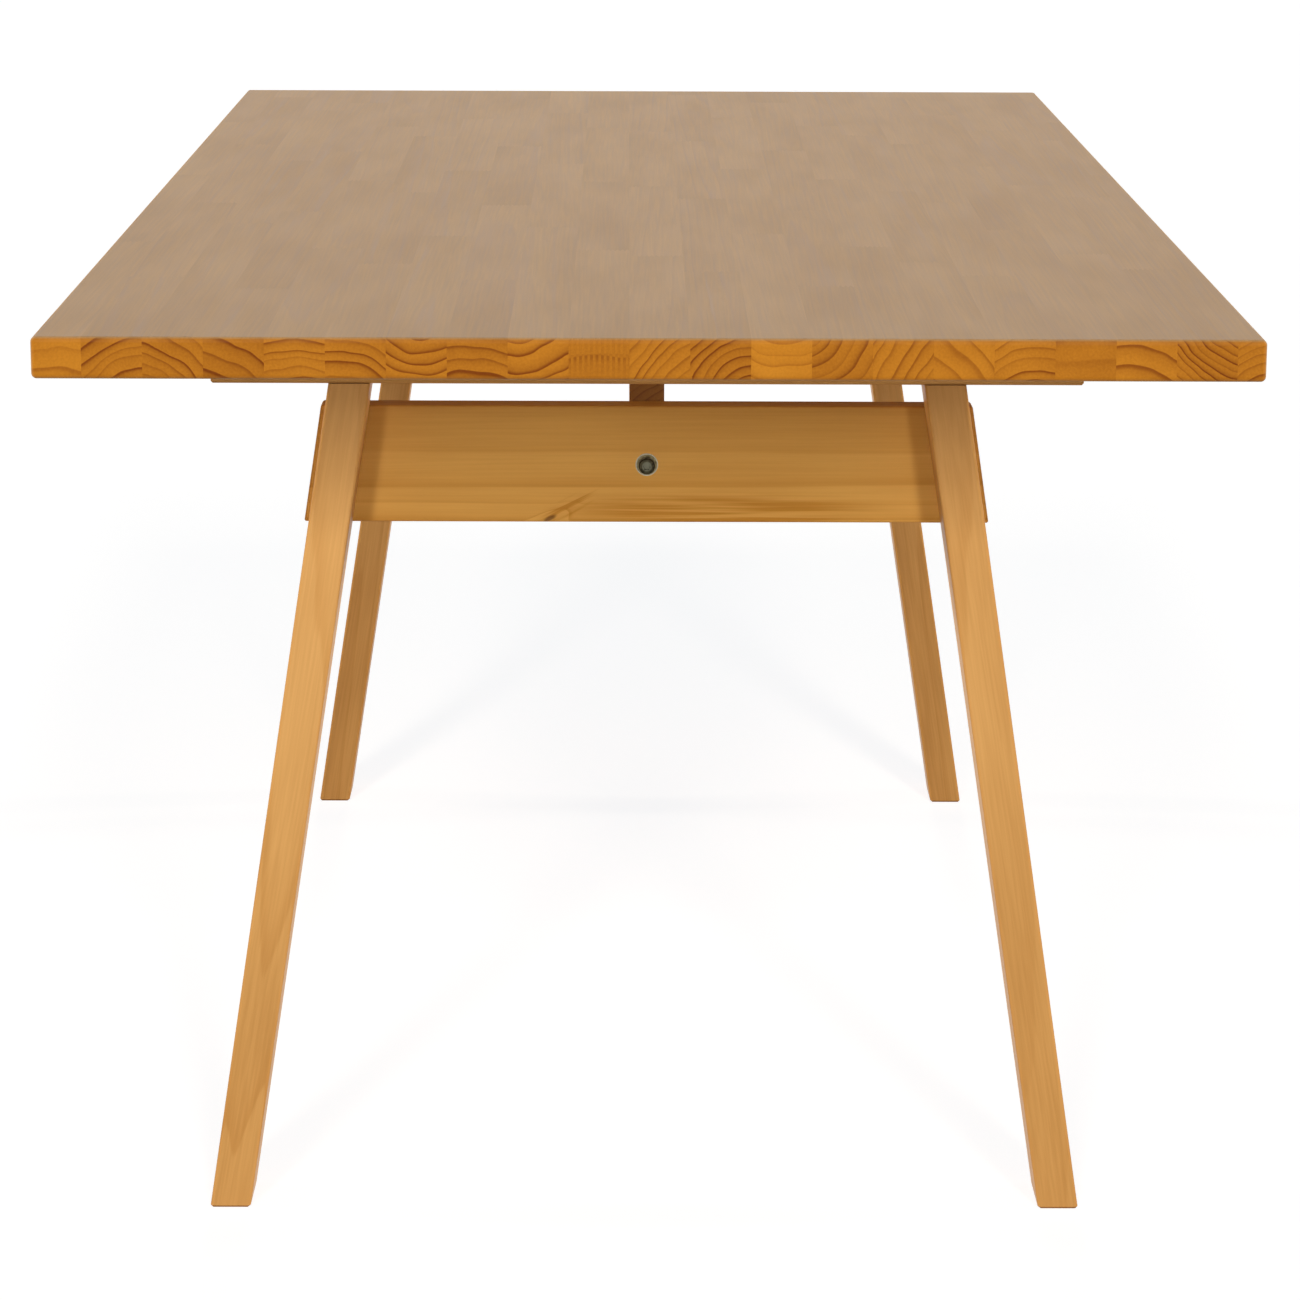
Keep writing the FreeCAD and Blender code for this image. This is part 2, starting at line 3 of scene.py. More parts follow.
import logging
import math
from dataclasses import dataclass, field, replace
from enum import Enum

import bmesh
import bpy
from mathutils import Euler, Matrix, Vector


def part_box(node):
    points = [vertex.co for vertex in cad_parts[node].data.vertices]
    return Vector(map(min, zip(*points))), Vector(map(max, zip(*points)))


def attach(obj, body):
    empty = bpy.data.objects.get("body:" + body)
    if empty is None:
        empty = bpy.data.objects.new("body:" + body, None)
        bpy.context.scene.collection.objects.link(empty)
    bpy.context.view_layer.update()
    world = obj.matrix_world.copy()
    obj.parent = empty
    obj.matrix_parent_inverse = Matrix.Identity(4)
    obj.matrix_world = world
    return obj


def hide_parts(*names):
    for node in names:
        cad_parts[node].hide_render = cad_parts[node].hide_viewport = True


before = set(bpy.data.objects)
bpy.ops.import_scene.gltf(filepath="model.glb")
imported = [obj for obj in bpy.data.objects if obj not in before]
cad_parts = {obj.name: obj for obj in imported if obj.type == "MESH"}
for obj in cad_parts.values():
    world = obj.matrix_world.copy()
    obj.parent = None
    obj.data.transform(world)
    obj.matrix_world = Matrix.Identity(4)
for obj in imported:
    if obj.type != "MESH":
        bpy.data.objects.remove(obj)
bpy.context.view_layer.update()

LOG = logging.getLogger("dining_table")
MM = 0.001
PICTURE_WIDTH = 1300
SENSOR_WIDTH = 36.0

Colour = tuple[float, float, float]
Triple = tuple[float, float, float]
Pair = tuple[float, float]
Socket = bpy.types.NodeSocket
Signal = Socket | float | tuple[float, ...]
SocketNames = dict[str, tuple[str, ...]]


class Grain(Enum):
    """Way that a piece's fibres run.

    Each value holds the turn in degrees that takes Z there, and the two axes square to it.
    """

    LENGTHWAYS = ((-90.0, 0.0, 0.0), (1, 0, 0), (0, 0, 1))
    CROSSWAYS = ((0.0, 90.0, 0.0), (0, 1, 0), (0, 0, 1))
    UPRIGHT = ((0.0, 0.0, 0.0), (1, 0, 0), (0, 1, 0))

    @property
    def turn(self) -> Matrix:
        """Rotation that takes the Z axis to the grain."""
        return Euler([math.radians(angle) for angle in self.value[0]]).to_matrix()

    @property
    def across(self) -> Vector:
        """First axis square to the grain."""
        return Vector(self.value[1])

    @property
    def up(self) -> Vector:
        """Second axis square to the grain."""
        return Vector(self.value[2])


class TableEnd(Enum):
    """End of the table that a trestle stands at, and the way from there to the table's middle."""

    FRONT = ("front", 1.0)
    REAR = ("rear", -1.0)

    @property
    def label(self) -> str:
        """Word for this end in the names of pieces."""
        return self.value[0]

    @property
    def inwards(self) -> Triple:
        """Direction from this end to the table's middle."""
        return (0.0, self.value[1], 0.0)


class ScrewHead(Enum):
    """Kind of wood screw.

    Each value holds the radius of every turned corner and its depth below the face, in millimetres.
    """

    COUNTERSUNK = ((4.6, 0.0), (4.72, 0.1), (2.5, 2.3), (2.5, 51.0), (0.0, 57.0))
    PAN = (
        (3.0, 0.0),
        (4.0, 0.35),
        (4.75, 1.0),
        (5.2, 2.0),
        (5.2, 3.6),
        (2.5, 3.6),
        (2.5, 42.6),
        (0.0, 48.6),
    )


class Detail(Enum):
    """Number of finer layers in a noise."""

    COARSE = 1.0
    MEDIUM = 2.0
    FINE = 3.0


@dataclass(frozen=True)
class Timber:
    """One sawn length of wood, told by where it sat in its tree.

    Attributes:
        pith: Heart of the tree from the piece's middle, across and up, in millimetres.
        ring: Width of one year's growth in millimetres.
        tone: Shade of this length, 0 being usual, below that paler and above it darker.
        bold: Strength of its rings, 1 being usual.
        slant: Turn of the heart line out of the piece's axis in degrees.
        seed: Number that picks this length's own figure.
        first_joint: Distance of the first finger joint from the front end in millimetres.
    """

    pith: Pair
    ring: float
    tone: float = 0.0
    bold: float = 1.0
    slant: Pair = (0.5, 0.4)
    seed: float = 0.0
    first_joint: float = 400.0


@dataclass(frozen=True)
class Knot:
    """Branch mark in a board.

    Attributes:
        place: Middle of the mark in metres.
        size: Half its reach along each axis in metres.
        flame_place: Middle of the flame beside it in metres.
        flame_size: Half the flame's reach along each axis in metres.
    """

    place: Triple
    size: Triple
    flame_place: Triple
    flame_size: Triple


@dataclass(frozen=True)
class WoodFinish:
    """Lacquered wood of one part of the table.

    Attributes:
        name: Name of the finish.
        face_early: Colour of the pale spring wood along the grain.
        face_late: Colour of the dark summer wood along the grain.
        end_early: Colour of the spring wood on sawn ends.
        end_late: Colour of the summer wood on sawn ends.
        ring_show: How far the rings show along the grain, from 0 to 1.
        fibre_show: How far single fibres show, from 0 to 1.
        tone_show: How far a dark length is darker along the grain, from 0 to 1.
        roughness: Mean roughness of the lacquer.
        ior: Refraction of the lacquer, which sets its sheen.
        bump: Strength of the relief of the grain.
    """

    name: str
    face_early: Colour
    face_late: Colour
    end_early: Colour
    end_late: Colour
    ring_show: float
    fibre_show: float
    tone_show: float
    roughness: float
    ior: float
    bump: float


@dataclass(frozen=True)
class SteelFinish:
    """Plated steel of a kind of fastener.

    Attributes:
        name: Name of the finish.
        bright: Colour of the clean plating.
        dull: Colour where it is darkened.
        roughness: Mean roughness.
        scale: Size of its cloudy marks, in marks to a metre.
        bare: Colour of a painted highlight about the axis, if there is one.
        painted_glint: Distances from the axis where that painted highlight begins and where it is
            complete, in millimetres.
    """

    name: str
    bright: Colour
    dull: Colour
    roughness: float
    scale: float
    # Painted highlight: a paler disc or ring about the axis, standing in for glints
    bare: Colour | None = None
    painted_glint: Pair = (0.0, 0.0)


TOP_PINE = WoodFinish(
    name="top_pine",
    face_early=(0.615, 0.355, 0.145),
    face_late=(0.49, 0.245, 0.080),
    end_early=(0.53, 0.190, 0.012),
    end_late=(0.235, 0.055, 0.002),
    ring_show=0.42,
    fibre_show=0.18,
    tone_show=0.04,
    roughness=0.39,
    ior=1.165,
    bump=0.08,
)
TRESTLE_PINE = WoodFinish(
    name="trestle_pine",
    face_early=(0.71, 0.368, 0.110),
    face_late=(0.53, 0.227, 0.044),
    end_early=(0.37, 0.155, 0.023),
    end_late=(0.20, 0.070, 0.007),
    ring_show=0.42,
    fibre_show=0.12,
    tone_show=0.16,
    roughness=0.42,
    ior=1.25,
    bump=0.12,
)
# The board's stronger rings are its own; the lower blue of its faces is painted shade, the warm bounced
# light under the top
BOARD_PINE = replace(
    TRESTLE_PINE,
    name="board_pine",
    face_early=(0.725, 0.377, 0.083),
    face_late=(0.52, 0.225, 0.028),
    ring_show=0.75,
    fibre_show=0.09,
    ior=1.2,
)
DOWEL_BEECH = WoodFinish(
    name="dowel_beech",
    face_early=(0.60, 0.40, 0.22),
    face_late=(0.47, 0.28, 0.13),
    end_early=(0.48, 0.30, 0.15),
    end_late=(0.36, 0.20, 0.09),
    ring_show=0.35,
    fibre_show=0.40,
    tone_show=0.10,
    roughness=0.62,
    ior=1.3,
    bump=0.20,
)
BOLT_STEEL = SteelFinish(
    name="bolt_steel",
    bright=(0.042, 0.035, 0.019),
    dull=(0.013, 0.011, 0.006),
    roughness=0.34,
    scale=420.0,
    # Painted highlight: the middle of the head round the socket is paler, as though it caught the light
    bare=(0.095, 0.090, 0.062),
    painted_glint=(4.3, 3.2),
)
WASHER_STEEL = SteelFinish(
    name="washer_steel",
    bright=(0.16, 0.13, 0.07),
    dull=(0.07, 0.052, 0.022),
    roughness=0.27,
    scale=420.0,
    # Painted highlight: the washer's rim is paler, standing in for its glints
    bare=(0.36, 0.325, 0.245),
    painted_glint=(8.0, 9.0),
)
SCREW_STEEL = SteelFinish("screw_steel", (0.46, 0.42, 0.30), (0.26, 0.21, 0.12), 0.30, 600.0)

# Staves of the top from left to right
STAVES = (
    Timber((2, -75), 13.0, -0.50, 0.7, (0.3, 0.5), 1.0, 520),
    Timber((30, -58), 8.0, 0.00, 1.1, (0.6, -0.4), 2.0, 310),
    Timber((-42, -60), 8.0, 0.15, 1.1, (-0.5, 0.3), 3.0, 640),
    Timber((-40, -76), 13.0, 0.45, 1.3, (0.4, 0.6), 4.0, 250),
    Timber((0, -80), 7.0, -0.15, 1.0, (0.7, -0.2), 5.0, 480),
    Timber((-10, -38), 8.5, 0.00, 1.0, (-0.4, -0.5), 6.0, 390),
    Timber((4, 52), 10.0, 0.10, 1.1, (0.5, 0.3), 7.0, 560),
    Timber((-4, -72), 11.0, 0.20, 1.4, (-0.6, 0.4), 8.0, 300),
    Timber((-16, 46), 10.0, -0.10, 1.1, (0.4, -0.6), 9.0, 620),
    Timber((0, -160), 26.0, 0.35, 0.6, (0.3, 0.2), 10.0, 5),
    Timber((70, -70), 7.0, 0.00, 1.1, (-0.5, 0.5), 11.0, 440),
    Timber((22, -26), 7.0, 0.45, 1.3, (0.6, 0.3), 12.0, 350),
    Timber((0, 60), 10.0, -0.80, 0.5, (-0.3, -0.4), 13.0, 580),
    Timber((-28, 30), 8.0, 0.50, 0.9, (0.5, 0.5), 14.0, 270),
    Timber((63, -36), 8.0, 0.10, 1.0, (-0.6, 0.2), 15.0, 500),
    Timber((-60, -64), 14.0, -0.40, 0.9, (0.4, -0.3), 16.0, 410),
    Timber((12, -56), 7.5, 0.00, 1.0, (-0.4, 0.6), 17.0, 330),
    Timber((0, -110), 17.0, 0.25, 0.7, (0.6, -0.5), 18.0, 610),
    Timber((-12, -48), 14.0, -0.35, 0.9, (-0.5, -0.3), 19.0, 460),
    Timber((36, 48), 5.0, 0.30, 1.3, (0.3, 0.4), 20.0, 370),
    Timber((16, -36), 6.5, 0.10, 1.0, (-0.4, 0.5), 21.0, 540),
)


class Wiring:
    """Adds nodes to one node tree and gives back the sockets that carry their results."""

    # Ranges that a ramp goes to
    RISE = (0.0, 1.0)
    FADE = (1.0, 0.0)
    BOTH_WAYS = (-1.0, 1.0)

    def __init__(self, tree: bpy.types.NodeTree) -> None:
        """Keeps the tree that the nodes go into."""
        self.tree = tree

    def add(self, kind: str, **settings: object) -> bpy.types.Node:
        """Adds one node.

        Args:
            kind: Blender's name of the node's type.
            settings: Properties to set on it.

        Returns:
            The new node.
        """
        node = self.tree.nodes.new(kind)
        for name, value in settings.items():
            setattr(node, name, value)
        return node

    def feed(self, socket: Socket, signal: Signal) -> None:
        """Links a socket to the signal, or sets it to the signal's value.

        Args:
            socket: Socket to feed.
            signal: Socket or value that it gets.
        """
        if isinstance(signal, Socket):
            self.tree.links.new(signal, socket)
        else:
            socket.default_value = signal

    def maths(self, operation: str, *signals: Signal) -> Socket:
        """Works out one number.

        Args:
            operation: Blender's name of the operation.
            signals: Its operands.

        Returns:
            Socket of the result.
        """
        node = self.add("ShaderNodeMath", operation=operation)
        for socket, signal in zip(node.inputs, signals):
            self.feed(socket, signal)
        return node.outputs[0]

    def vector(self, operation: str, *signals: Signal) -> Socket:
        """Works out one vector, or a length or dot product.

        Args:
            operation: Blender's name of the operation.
            signals: Its operands.

        Returns:
            Socket of the result.
        """
        node = self.add("ShaderNodeVectorMath", operation=operation)
        for socket, signal in zip(node.inputs, signals):
            self.feed(socket, signal)
        return node.outputs["Value" if operation in ("LENGTH", "DOT_PRODUCT") else "Vector"]

    def scaled(self, vector: Socket, factor: Socket) -> Socket:
        """Gives a vector times a number.

        Args:
            vector: The vector.
            factor: The number.

        Returns:
            Socket of the product.
        """
        node = self.add("ShaderNodeVectorMath", operation="SCALE")
        self.feed(node.inputs["Vector"], vector)
        self.feed(node.inputs["Scale"], factor)
        return node.outputs["Vector"]

    def ramp(self, signal: Socket, start: Pair, end: Pair = RISE) -> Socket:
        """Eases a number from one range into another.

        Args:
            signal: Number to map.
            start: Range that it comes from.
            end: Range that it goes to, 0 to 1 unless given.

        Returns:
            Socket of the mapped number.
        """
        node = self.add("ShaderNodeMapRange", interpolation_type="SMOOTHSTEP")
        values = (signal, *start, *end)
        for socket, value in zip(node.inputs, values):
            self.feed(socket, value)
        return node.outputs["Result"]

    def noise(self, place: Socket, seed: Signal, detail: Detail, colour: bool = False) -> Socket:
        """Soft noise at a scale of 1.

        Args:
            place: Where it is read.
            seed: Fourth coordinate, which picks the pattern.
            detail: Number of finer layers.
            colour: Whether three independent values are wanted.

        Returns:
            Socket of the value, or of the three values as a colour.
        """
        node = self.add("ShaderNodeTexNoise", noise_dimensions="4D")
        self.feed(node.inputs["Vector"], place)
        self.feed(node.inputs["W"], seed)
        self.feed(node.inputs["Scale"], 1.0)
        self.feed(node.inputs["Detail"], detail.value)
        return node.outputs["Color" if colour else "Fac"]

    def luck(self, number: Socket) -> bpy.types.NodeOutputs:
        """Draws at random for each number.

        Args:
            number: Number to draw for.

        Returns:
            Outputs with the value and the colour drawn.
        """
        node = self.add("ShaderNodeTexWhiteNoise", noise_dimensions="1D")
        self.feed(node.inputs["W"], number)
        return node.outputs

    def axes(self, place: Socket) -> bpy.types.NodeOutputs:
        """Splits a place into its three coordinates.

        Args:
            place: The place.

        Returns:
            Outputs X, Y and Z.
        """
        node = self.add("ShaderNodeSeparateXYZ")
        self.feed(node.inputs[0], place)
        return node.outputs

    def relief(self, height: Socket, strength: float, depth: float) -> Socket:
        """Turns a height into a normal.

        Args:
            height: Height of the relief from 0 to 1.
            strength: How far it shows, from 0 to 1.
            depth: Height of a full step in metres.

        Returns:
            Socket of the normal.
        """
        node = self.add("ShaderNodeBump")
        self.feed(node.inputs["Strength"], strength)
        self.feed(node.inputs["Distance"], depth)
        self.feed(node.inputs["Height"], height)
        return node.outputs["Normal"]

    def blend(self, factor: Signal, first: Signal, second: Signal, mode: str = "MIX") -> Socket:
        """Mixes two colours.

        Args:
            factor: Share of the second colour.
            first: First colour.
            second: Second colour.
            mode: Blender's name of the way to mix.

        Returns:
            Socket of the mixed colour.
        """
        node = self.add("ShaderNodeMix", data_type="RGBA", blend_type=mode)
        colours = [socket for socket in node.inputs if socket.type == "RGBA"]
        self.feed(node.inputs[0], factor)
        self.feed(colours[0], first)
        self.feed(colours[1], second)
        return [socket for socket in node.outputs if socket.type == "RGBA"][0]


class Effect:
    """Shader node group with named inputs and outputs."""

    def __init__(self, name: str, inputs: SocketNames, outputs: SocketNames) -> None:
        """Makes an empty group.

        Args:
            name: Name of the group.
            inputs: Names of the inputs, under their kind of socket.
            outputs: Names of the outputs, under their kind of socket.
        """
        self.tree = bpy.data.node_groups.new(name, "ShaderNodeTree")
        for way, sockets in (("INPUT", inputs), ("OUTPUT", outputs)):
            for kind, names in sockets.items():
                for socket in names:
                    self.tree.interface.new_socket(socket, in_out=way, socket_type="NodeSocket" + kind)
        self.wiring = Wiring(self.tree)
        self.given = self.wiring.add("NodeGroupInput").outputs
        self.result = self.wiring.add("NodeGroupOutput").inputs

    def place(self, wiring: Wiring, **signals: Signal) -> bpy.types.NodeOutputs:
        """Puts the group into a material.

        Args:
            wiring: Wiring of the material.
            signals: Value or socket for each input, with underscores for spaces.

        Returns:
            The placed group's outputs.
        """
        node = wiring.add("ShaderNodeGroup", node_tree=self.tree)
        for name, signal in signals.items():
            wiring.feed(node.inputs[name.replace("_", " ")], signal)
        return node.outputs


class GrowthRings(Effect):
    """Year rings about a heart line along Z, and the fibres along it."""

    # Marks to a metre across and along the grain
    DRIFT = (5.0, 5.0, 0.9)
    RIPPLE = (42.0, 42.0, 2.0)
    FIBRE = (520.0, 520.0, 9.0)
    SWELL_SCALE = 36.0

    # What leaves out the way along the grain, and the mean of three noises
    FLAT = (1.0, 1.0, 0.0)
    MIDDLE = (0.5, 0.5, 0.5)

    # Years that a swelling adds, and spread of the seeds
    SWELL = 1.1
    SWELL_SEED = 7.3
    YEAR_SEED = 13.7

    # Parts of a year, and share of the darkening in each
    RIPENING = (0.15, 0.95)
    RIPENING_SHARE = (0.0, 0.40)
    SUMMER = (0.68, 0.93)
    SUMMER_SHARE = 0.60
    WINTER = (0.94, 1.0)
    YEAR_STRENGTH = (0.35, 1.0)

    def __init__(self) -> None:
        """Builds the group."""
        super().__init__(
            "growth_rings",
            {"Vector": ("Place",), "Float": ("Ring Width", "Waver", "Ripple", "Swirl", "Seed")},
            {"Float": ("Latewood", "Fibre")},
        )
        w = self.wiring
        seed = self.given["Seed"]
        moved = place = self.given["Place"]
        strays = ((self.DRIFT, Detail.MEDIUM, "Waver"), (self.RIPPLE, Detail.COARSE, "Ripple"))
        for scale, detail, reach in strays:
            stray = w.noise(w.vector("MULTIPLY", place, scale), seed, detail, colour=True)
            stray = w.scaled(w.vector("SUBTRACT", stray, self.MIDDLE), self.given[reach])
            moved = w.vector("ADD", moved, stray)
        radius = w.vector("LENGTH", w.vector("MULTIPLY", moved, self.FLAT))
        swell = w.add("ShaderNodeTexNoise", noise_dimensions="1D")
        outwards = w.maths("MULTIPLY", radius, self.SWELL_SCALE)
        w.feed(swell.inputs["W"], w.maths("MULTIPLY_ADD", seed, self.SWELL_SEED, outwards))
        w.feed(swell.inputs["Scale"], 1.0)
        w.feed(swell.inputs["Detail"], Detail.COARSE.value)
        years = w.maths("DIVIDE", radius, self.given["Ring Width"])
        years = w.maths("MULTIPLY_ADD", swell.outputs["Fac"], self.SWELL, years)
        years = w.maths("ADD", years, self.given["Swirl"])
        season = w.maths("FRACT", years)
        luck = w.luck(w.maths("MULTIPLY_ADD", seed, self.YEAR_SEED, w.maths("FLOOR", years)))
        ripening = w.ramp(season, self.RIPENING, self.RIPENING_SHARE)
        summer = w.maths("MULTIPLY_ADD", w.ramp(season, self.SUMMER), self.SUMMER_SHARE, ripening)
        winter = w.ramp(season, self.WINTER, w.FADE)
        strength = w.ramp(luck["Value"], w.RISE, self.YEAR_STRENGTH)
        latewood = w.maths("MULTIPLY", w.maths("MULTIPLY", summer, winter), strength)
        fibre = w.noise(w.vector("MULTIPLY", moved, self.FIBRE), seed, Detail.FINE)
        w.feed(self.result["Latewood"], latewood)
        w.feed(self.result["Fibre"], fibre)


class FingerJoints(Effect):
    """Lengths of wood joined end to end by glued fingers into one stave."""

    PITCH = 4.0 * MM
    DEPTH = 10.0 * MM
    LINE = 0.8 * MM
    HALF = 0.5
    LENGTH_SEED = 9.1

    def __init__(self) -> None:
        """Builds the group."""
        super().__init__(
            "finger_joints",
            {"Vector": ("Place",), "Float": ("First Joint", "Spacing", "Seed")},
            {"Vector": ("Shift",), "Float": ("Tone", "Glue")},
        )
        w = self.wiring
        axes = w.axes(self.given["Place"])
        tooth = w.maths("PINGPONG", axes["X"], self.PITCH / 2)
        along = w.maths("SUBTRACT", axes["Y"], self.given["First Joint"])
        along = w.maths("MULTIPLY_ADD", tooth, 2 * self.DEPTH / self.PITCH, along)
        along = w.maths("DIVIDE", along, self.given["Spacing"])
        length = w.maths("MAXIMUM", w.maths("ADD", w.maths("FLOOR", along), 1.0), 0.0)
        luck = w.luck(w.maths("MULTIPLY_ADD", self.given["Seed"], self.LENGTH_SEED, length))
        later = w.maths("MINIMUM", length, 1.0)
        shift = w.scaled(w.vector("SUBTRACT", luck["Color"], GrowthRings.MIDDLE), later)
        tone = w.maths("MULTIPLY", w.maths("SUBTRACT", luck["Value"], self.HALF), later)
        near = w.maths("PINGPONG", along, self.HALF)
        near = w.maths("MULTIPLY", near, self.given["Spacing"])
        glue = w.ramp(near, (0.0, self.LINE), w.FADE)
        w.feed(self.result["Shift"], shift)
        w.feed(self.result["Tone"], tone)
        w.feed(self.result["Glue"], glue)


class BranchMark(Effect):
    """Knot: a slanting dark eye, lines that fan out from it, and the flame that it leaves beside it."""

    SLOPE = math.radians(27.0)
    FAN_SHIFT = (20.0 * MM, 0.0, 1.5 * MM)
    FAN_SIZE = (30.0 * MM, 1.0, 8.5 * MM)

    # Lines to a metre, and the values of the noise between which a line darkens
    FAN_LINES = (14.0, 1.0, 400.0)
    FAN_DARKENS = (0.40, 0.62)
    FLAME_LINES = (6.0, 1.0, 290.0)
    FLAME_DARKENS = (0.36, 0.58)

    # Where each part fades out, as a share of its reach
    EYE_EDGE = (0.35, 1.0)
    FAN_EDGE = (0.45, 1.0)
    FLAME_EDGE = (0.35, 1.0)
    SWIRL_EDGE = (0.0, 4.0)
    SWIRL = (1.2, 0.0)

    def __init__(self) -> None:
        """Builds the group."""
        super().__init__(
            "branch_mark",
            {"Vector": ("Place", "Middle", "Size", "Flame Middle", "Flame Size"), "Float": ("Seed",)},
            {"Float": ("Swirl", "Eye", "Streaks")},
        )
        w = self.wiring
        given = self.given
        slanted = w.add("ShaderNodeVectorRotate", rotation_type="Y_AXIS")
        w.feed(slanted.inputs["Vector"], w.vector("SUBTRACT", given["Place"], given["Middle"]))
        w.feed(slanted.inputs["Angle"], self.SLOPE)
        apart = slanted.outputs["Vector"]
        away = w.vector("LENGTH", w.vector("DIVIDE", apart, given["Size"]))
        fan = w.vector("DIVIDE", w.vector("SUBTRACT", apart, self.FAN_SHIFT), self.FAN_SIZE)
        fan = w.ramp(w.vector("LENGTH", fan), self.FAN_EDGE, w.FADE)
        fan_lines = w.noise(w.vector("MULTIPLY", apart, self.FAN_LINES), given["Seed"], Detail.COARSE)
        fan = w.maths("MULTIPLY", fan, w.ramp(fan_lines, self.FAN_DARKENS))
        along = w.vector("SUBTRACT", given["Place"], given["Flame Middle"])
        along = w.vector("LENGTH", w.vector("DIVIDE", along, given["Flame Size"]))
        flame = w.ramp(along, self.FLAME_EDGE, w.FADE)
        flame_place = w.vector("MULTIPLY", given["Place"], self.FLAME_LINES)
        flame_lines = w.noise(flame_place, given["Seed"], Detail.MEDIUM)
        flame = w.maths("MULTIPLY", flame, w.ramp(flame_lines, self.FLAME_DARKENS))
        w.feed(self.result["Swirl"], w.ramp(away, self.SWIRL_EDGE, self.SWIRL))
        w.feed(self.result["Eye"], w.ramp(away, self.EYE_EDGE, w.FADE))
        w.feed(self.result["Streaks"], w.maths("MAXIMUM", fan, flame))


class SawnSides(Effect):
    """Sawn ends of a squared piece, and its rounded edges where the lacquer is rubbed."""

    # How squarely a side faces its axis, at an end and at a rounded edge
    END_FACES = (0.35, 0.9)
    EDGE_FACES = (0.90, 0.998)

    # Patches of wear to a metre, values of the noise between which it grows, and how much there is
    PATCHES = (60.0, 60.0, 60.0)
    PATCH_GROWS = (0.3, 0.7)
    PATCH_WEAR = (0.35, 1.0)

    def __init__(self) -> None:
        """Builds the group."""
        super().__init__(
            "sawn_sides",
            {"Vector": ("Normal", "Along", "Across", "Up", "Place"), "Float": ("Seed",)},
            {"Float": ("End Grain", "Wear")},
        )
        w = self.wiring
        facing = [
            w.maths("ABSOLUTE", w.vector("DOT_PRODUCT", self.given["Normal"], self.given[way]))
            for way in ("Along", "Across", "Up")
        ]
        squarest = w.maths("MAXIMUM", w.maths("MAXIMUM", facing[0], facing[1]), facing[2])
        edge = w.ramp(squarest, self.EDGE_FACES, w.FADE)
        patch = w.vector("MULTIPLY", self.given["Place"], self.PATCHES)
        patch = w.noise(patch, self.given["Seed"], Detail.MEDIUM)
        patch = w.ramp(patch, self.PATCH_GROWS, self.PATCH_WEAR)
        w.feed(self.result["End Grain"], w.ramp(facing[0], self.END_FACES))
        w.feed(self.result["Wear"], w.maths("MULTIPLY", edge, patch))


class WoodSurface(Effect):
    """Colour, roughness and relief of lacquered wood from its rings, fibres and edges."""

    # Values of the noise between which a fibre goes from dark to pale
    FIBRES = (0.25, 0.75)

    # How far each thing shows in the colour, and its colour where it has one
    CLOUD_SHOW = 0.18
    FIGURE_SHOW = 0.5
    END_TONE_SHOW = 0.24
    MARK_SHOW = 0.75
    MARK_COLOUR = (0.10, 0.035, 0.008)
    WEAR_SHOW = 0.22
    WEAR_COLOUR = (0.63, 0.27, 0.08)

    # A shade is deeper in blue than in red
    SHADE_POWERS = (0.8, 1.05, 1.5)

    # What each thing adds to the roughness and to the relief
    FIBRE_ROUGH = 0.035
    WEAR_ROUGH = 0.30
    END_ROUGH = 0.08
    RING_ROUGH = -0.04
    FIBRE_RELIEF = 0.6
    RING_RELIEF = 0.5

    def __init__(self) -> None:
        """Builds the group."""
        super().__init__(
            "wood_surface",
            {
                "Float": (
                    "Latewood", "Fibre", "End Grain", "Tone", "Cloud", "Dark Mark", "Wear",
                    "Ring Show", "Fibre Show", "Tone Show", "Lacquer",
                ),
                "Color": ("Face Early", "Face Late", "End Early", "End Late"),
            },
            {"Color": ("Colour",), "Float": ("Roughness", "Relief")},
        )
        w = self.wiring
        given = self.given
        ends = given["End Grain"]
        face_rings = w.maths("MULTIPLY", given["Latewood"], given["Ring Show"])
        face = w.blend(face_rings, given["Face Early"], given["Face Late"])
        sawn = w.blend(given["Latewood"], given["End Early"], given["End Late"])
        wood = w.blend(ends, face, sawn)
        fibre = w.ramp(given["Fibre"], self.FIBRES, w.BOTH_WAYS)
        figure = w.maths("MULTIPLY", fibre, given["Fibre Show"])
        figure = w.maths("MULTIPLY_ADD", given["Cloud"], self.CLOUD_SHOW, figure)
        reach = w.maths("MAXIMUM", given["Tone Show"], w.maths("MULTIPLY", ends, self.END_TONE_SHOW))
        tone = w.maths("SUBTRACT", 1.0, w.maths("MULTIPLY", given["Tone"], reach))
        shade = w.maths("MULTIPLY_ADD", figure, self.FIGURE_SHOW, tone)
        tint = w.add("ShaderNodeCombineColor")
        for channel, power in zip(tint.inputs, self.SHADE_POWERS):
            w.feed(channel, w.maths("POWER", shade, power))
        wood = w.blend(1.0, wood, tint.outputs[0], "MULTIPLY")
        mark = w.maths("MULTIPLY", given["Dark Mark"], self.MARK_SHOW)
        wood = w.blend(mark, wood, opaque(self.MARK_COLOUR))
        wear = w.maths("MULTIPLY", given["Wear"], self.WEAR_SHOW)
        wood = w.blend(wear, wood, opaque(self.WEAR_COLOUR))
        rough = w.maths("MULTIPLY_ADD", fibre, self.FIBRE_ROUGH, given["Lacquer"])
        rough = w.maths("MULTIPLY_ADD", given["Wear"], self.WEAR_ROUGH, rough)
        rough = w.maths("MULTIPLY_ADD", ends, self.END_ROUGH, rough)
        rough = w.maths("MULTIPLY_ADD", given["Latewood"], self.RING_ROUGH, rough)
        relief = w.maths("MULTIPLY", given["Latewood"], self.RING_RELIEF)
        relief = w.maths("MULTIPLY_ADD", given["Fibre"], self.FIBRE_RELIEF, relief)
        w.feed(self.result["Colour"], wood)
        w.feed(self.result["Roughness"], rough)
        w.feed(self.result["Relief"], relief)


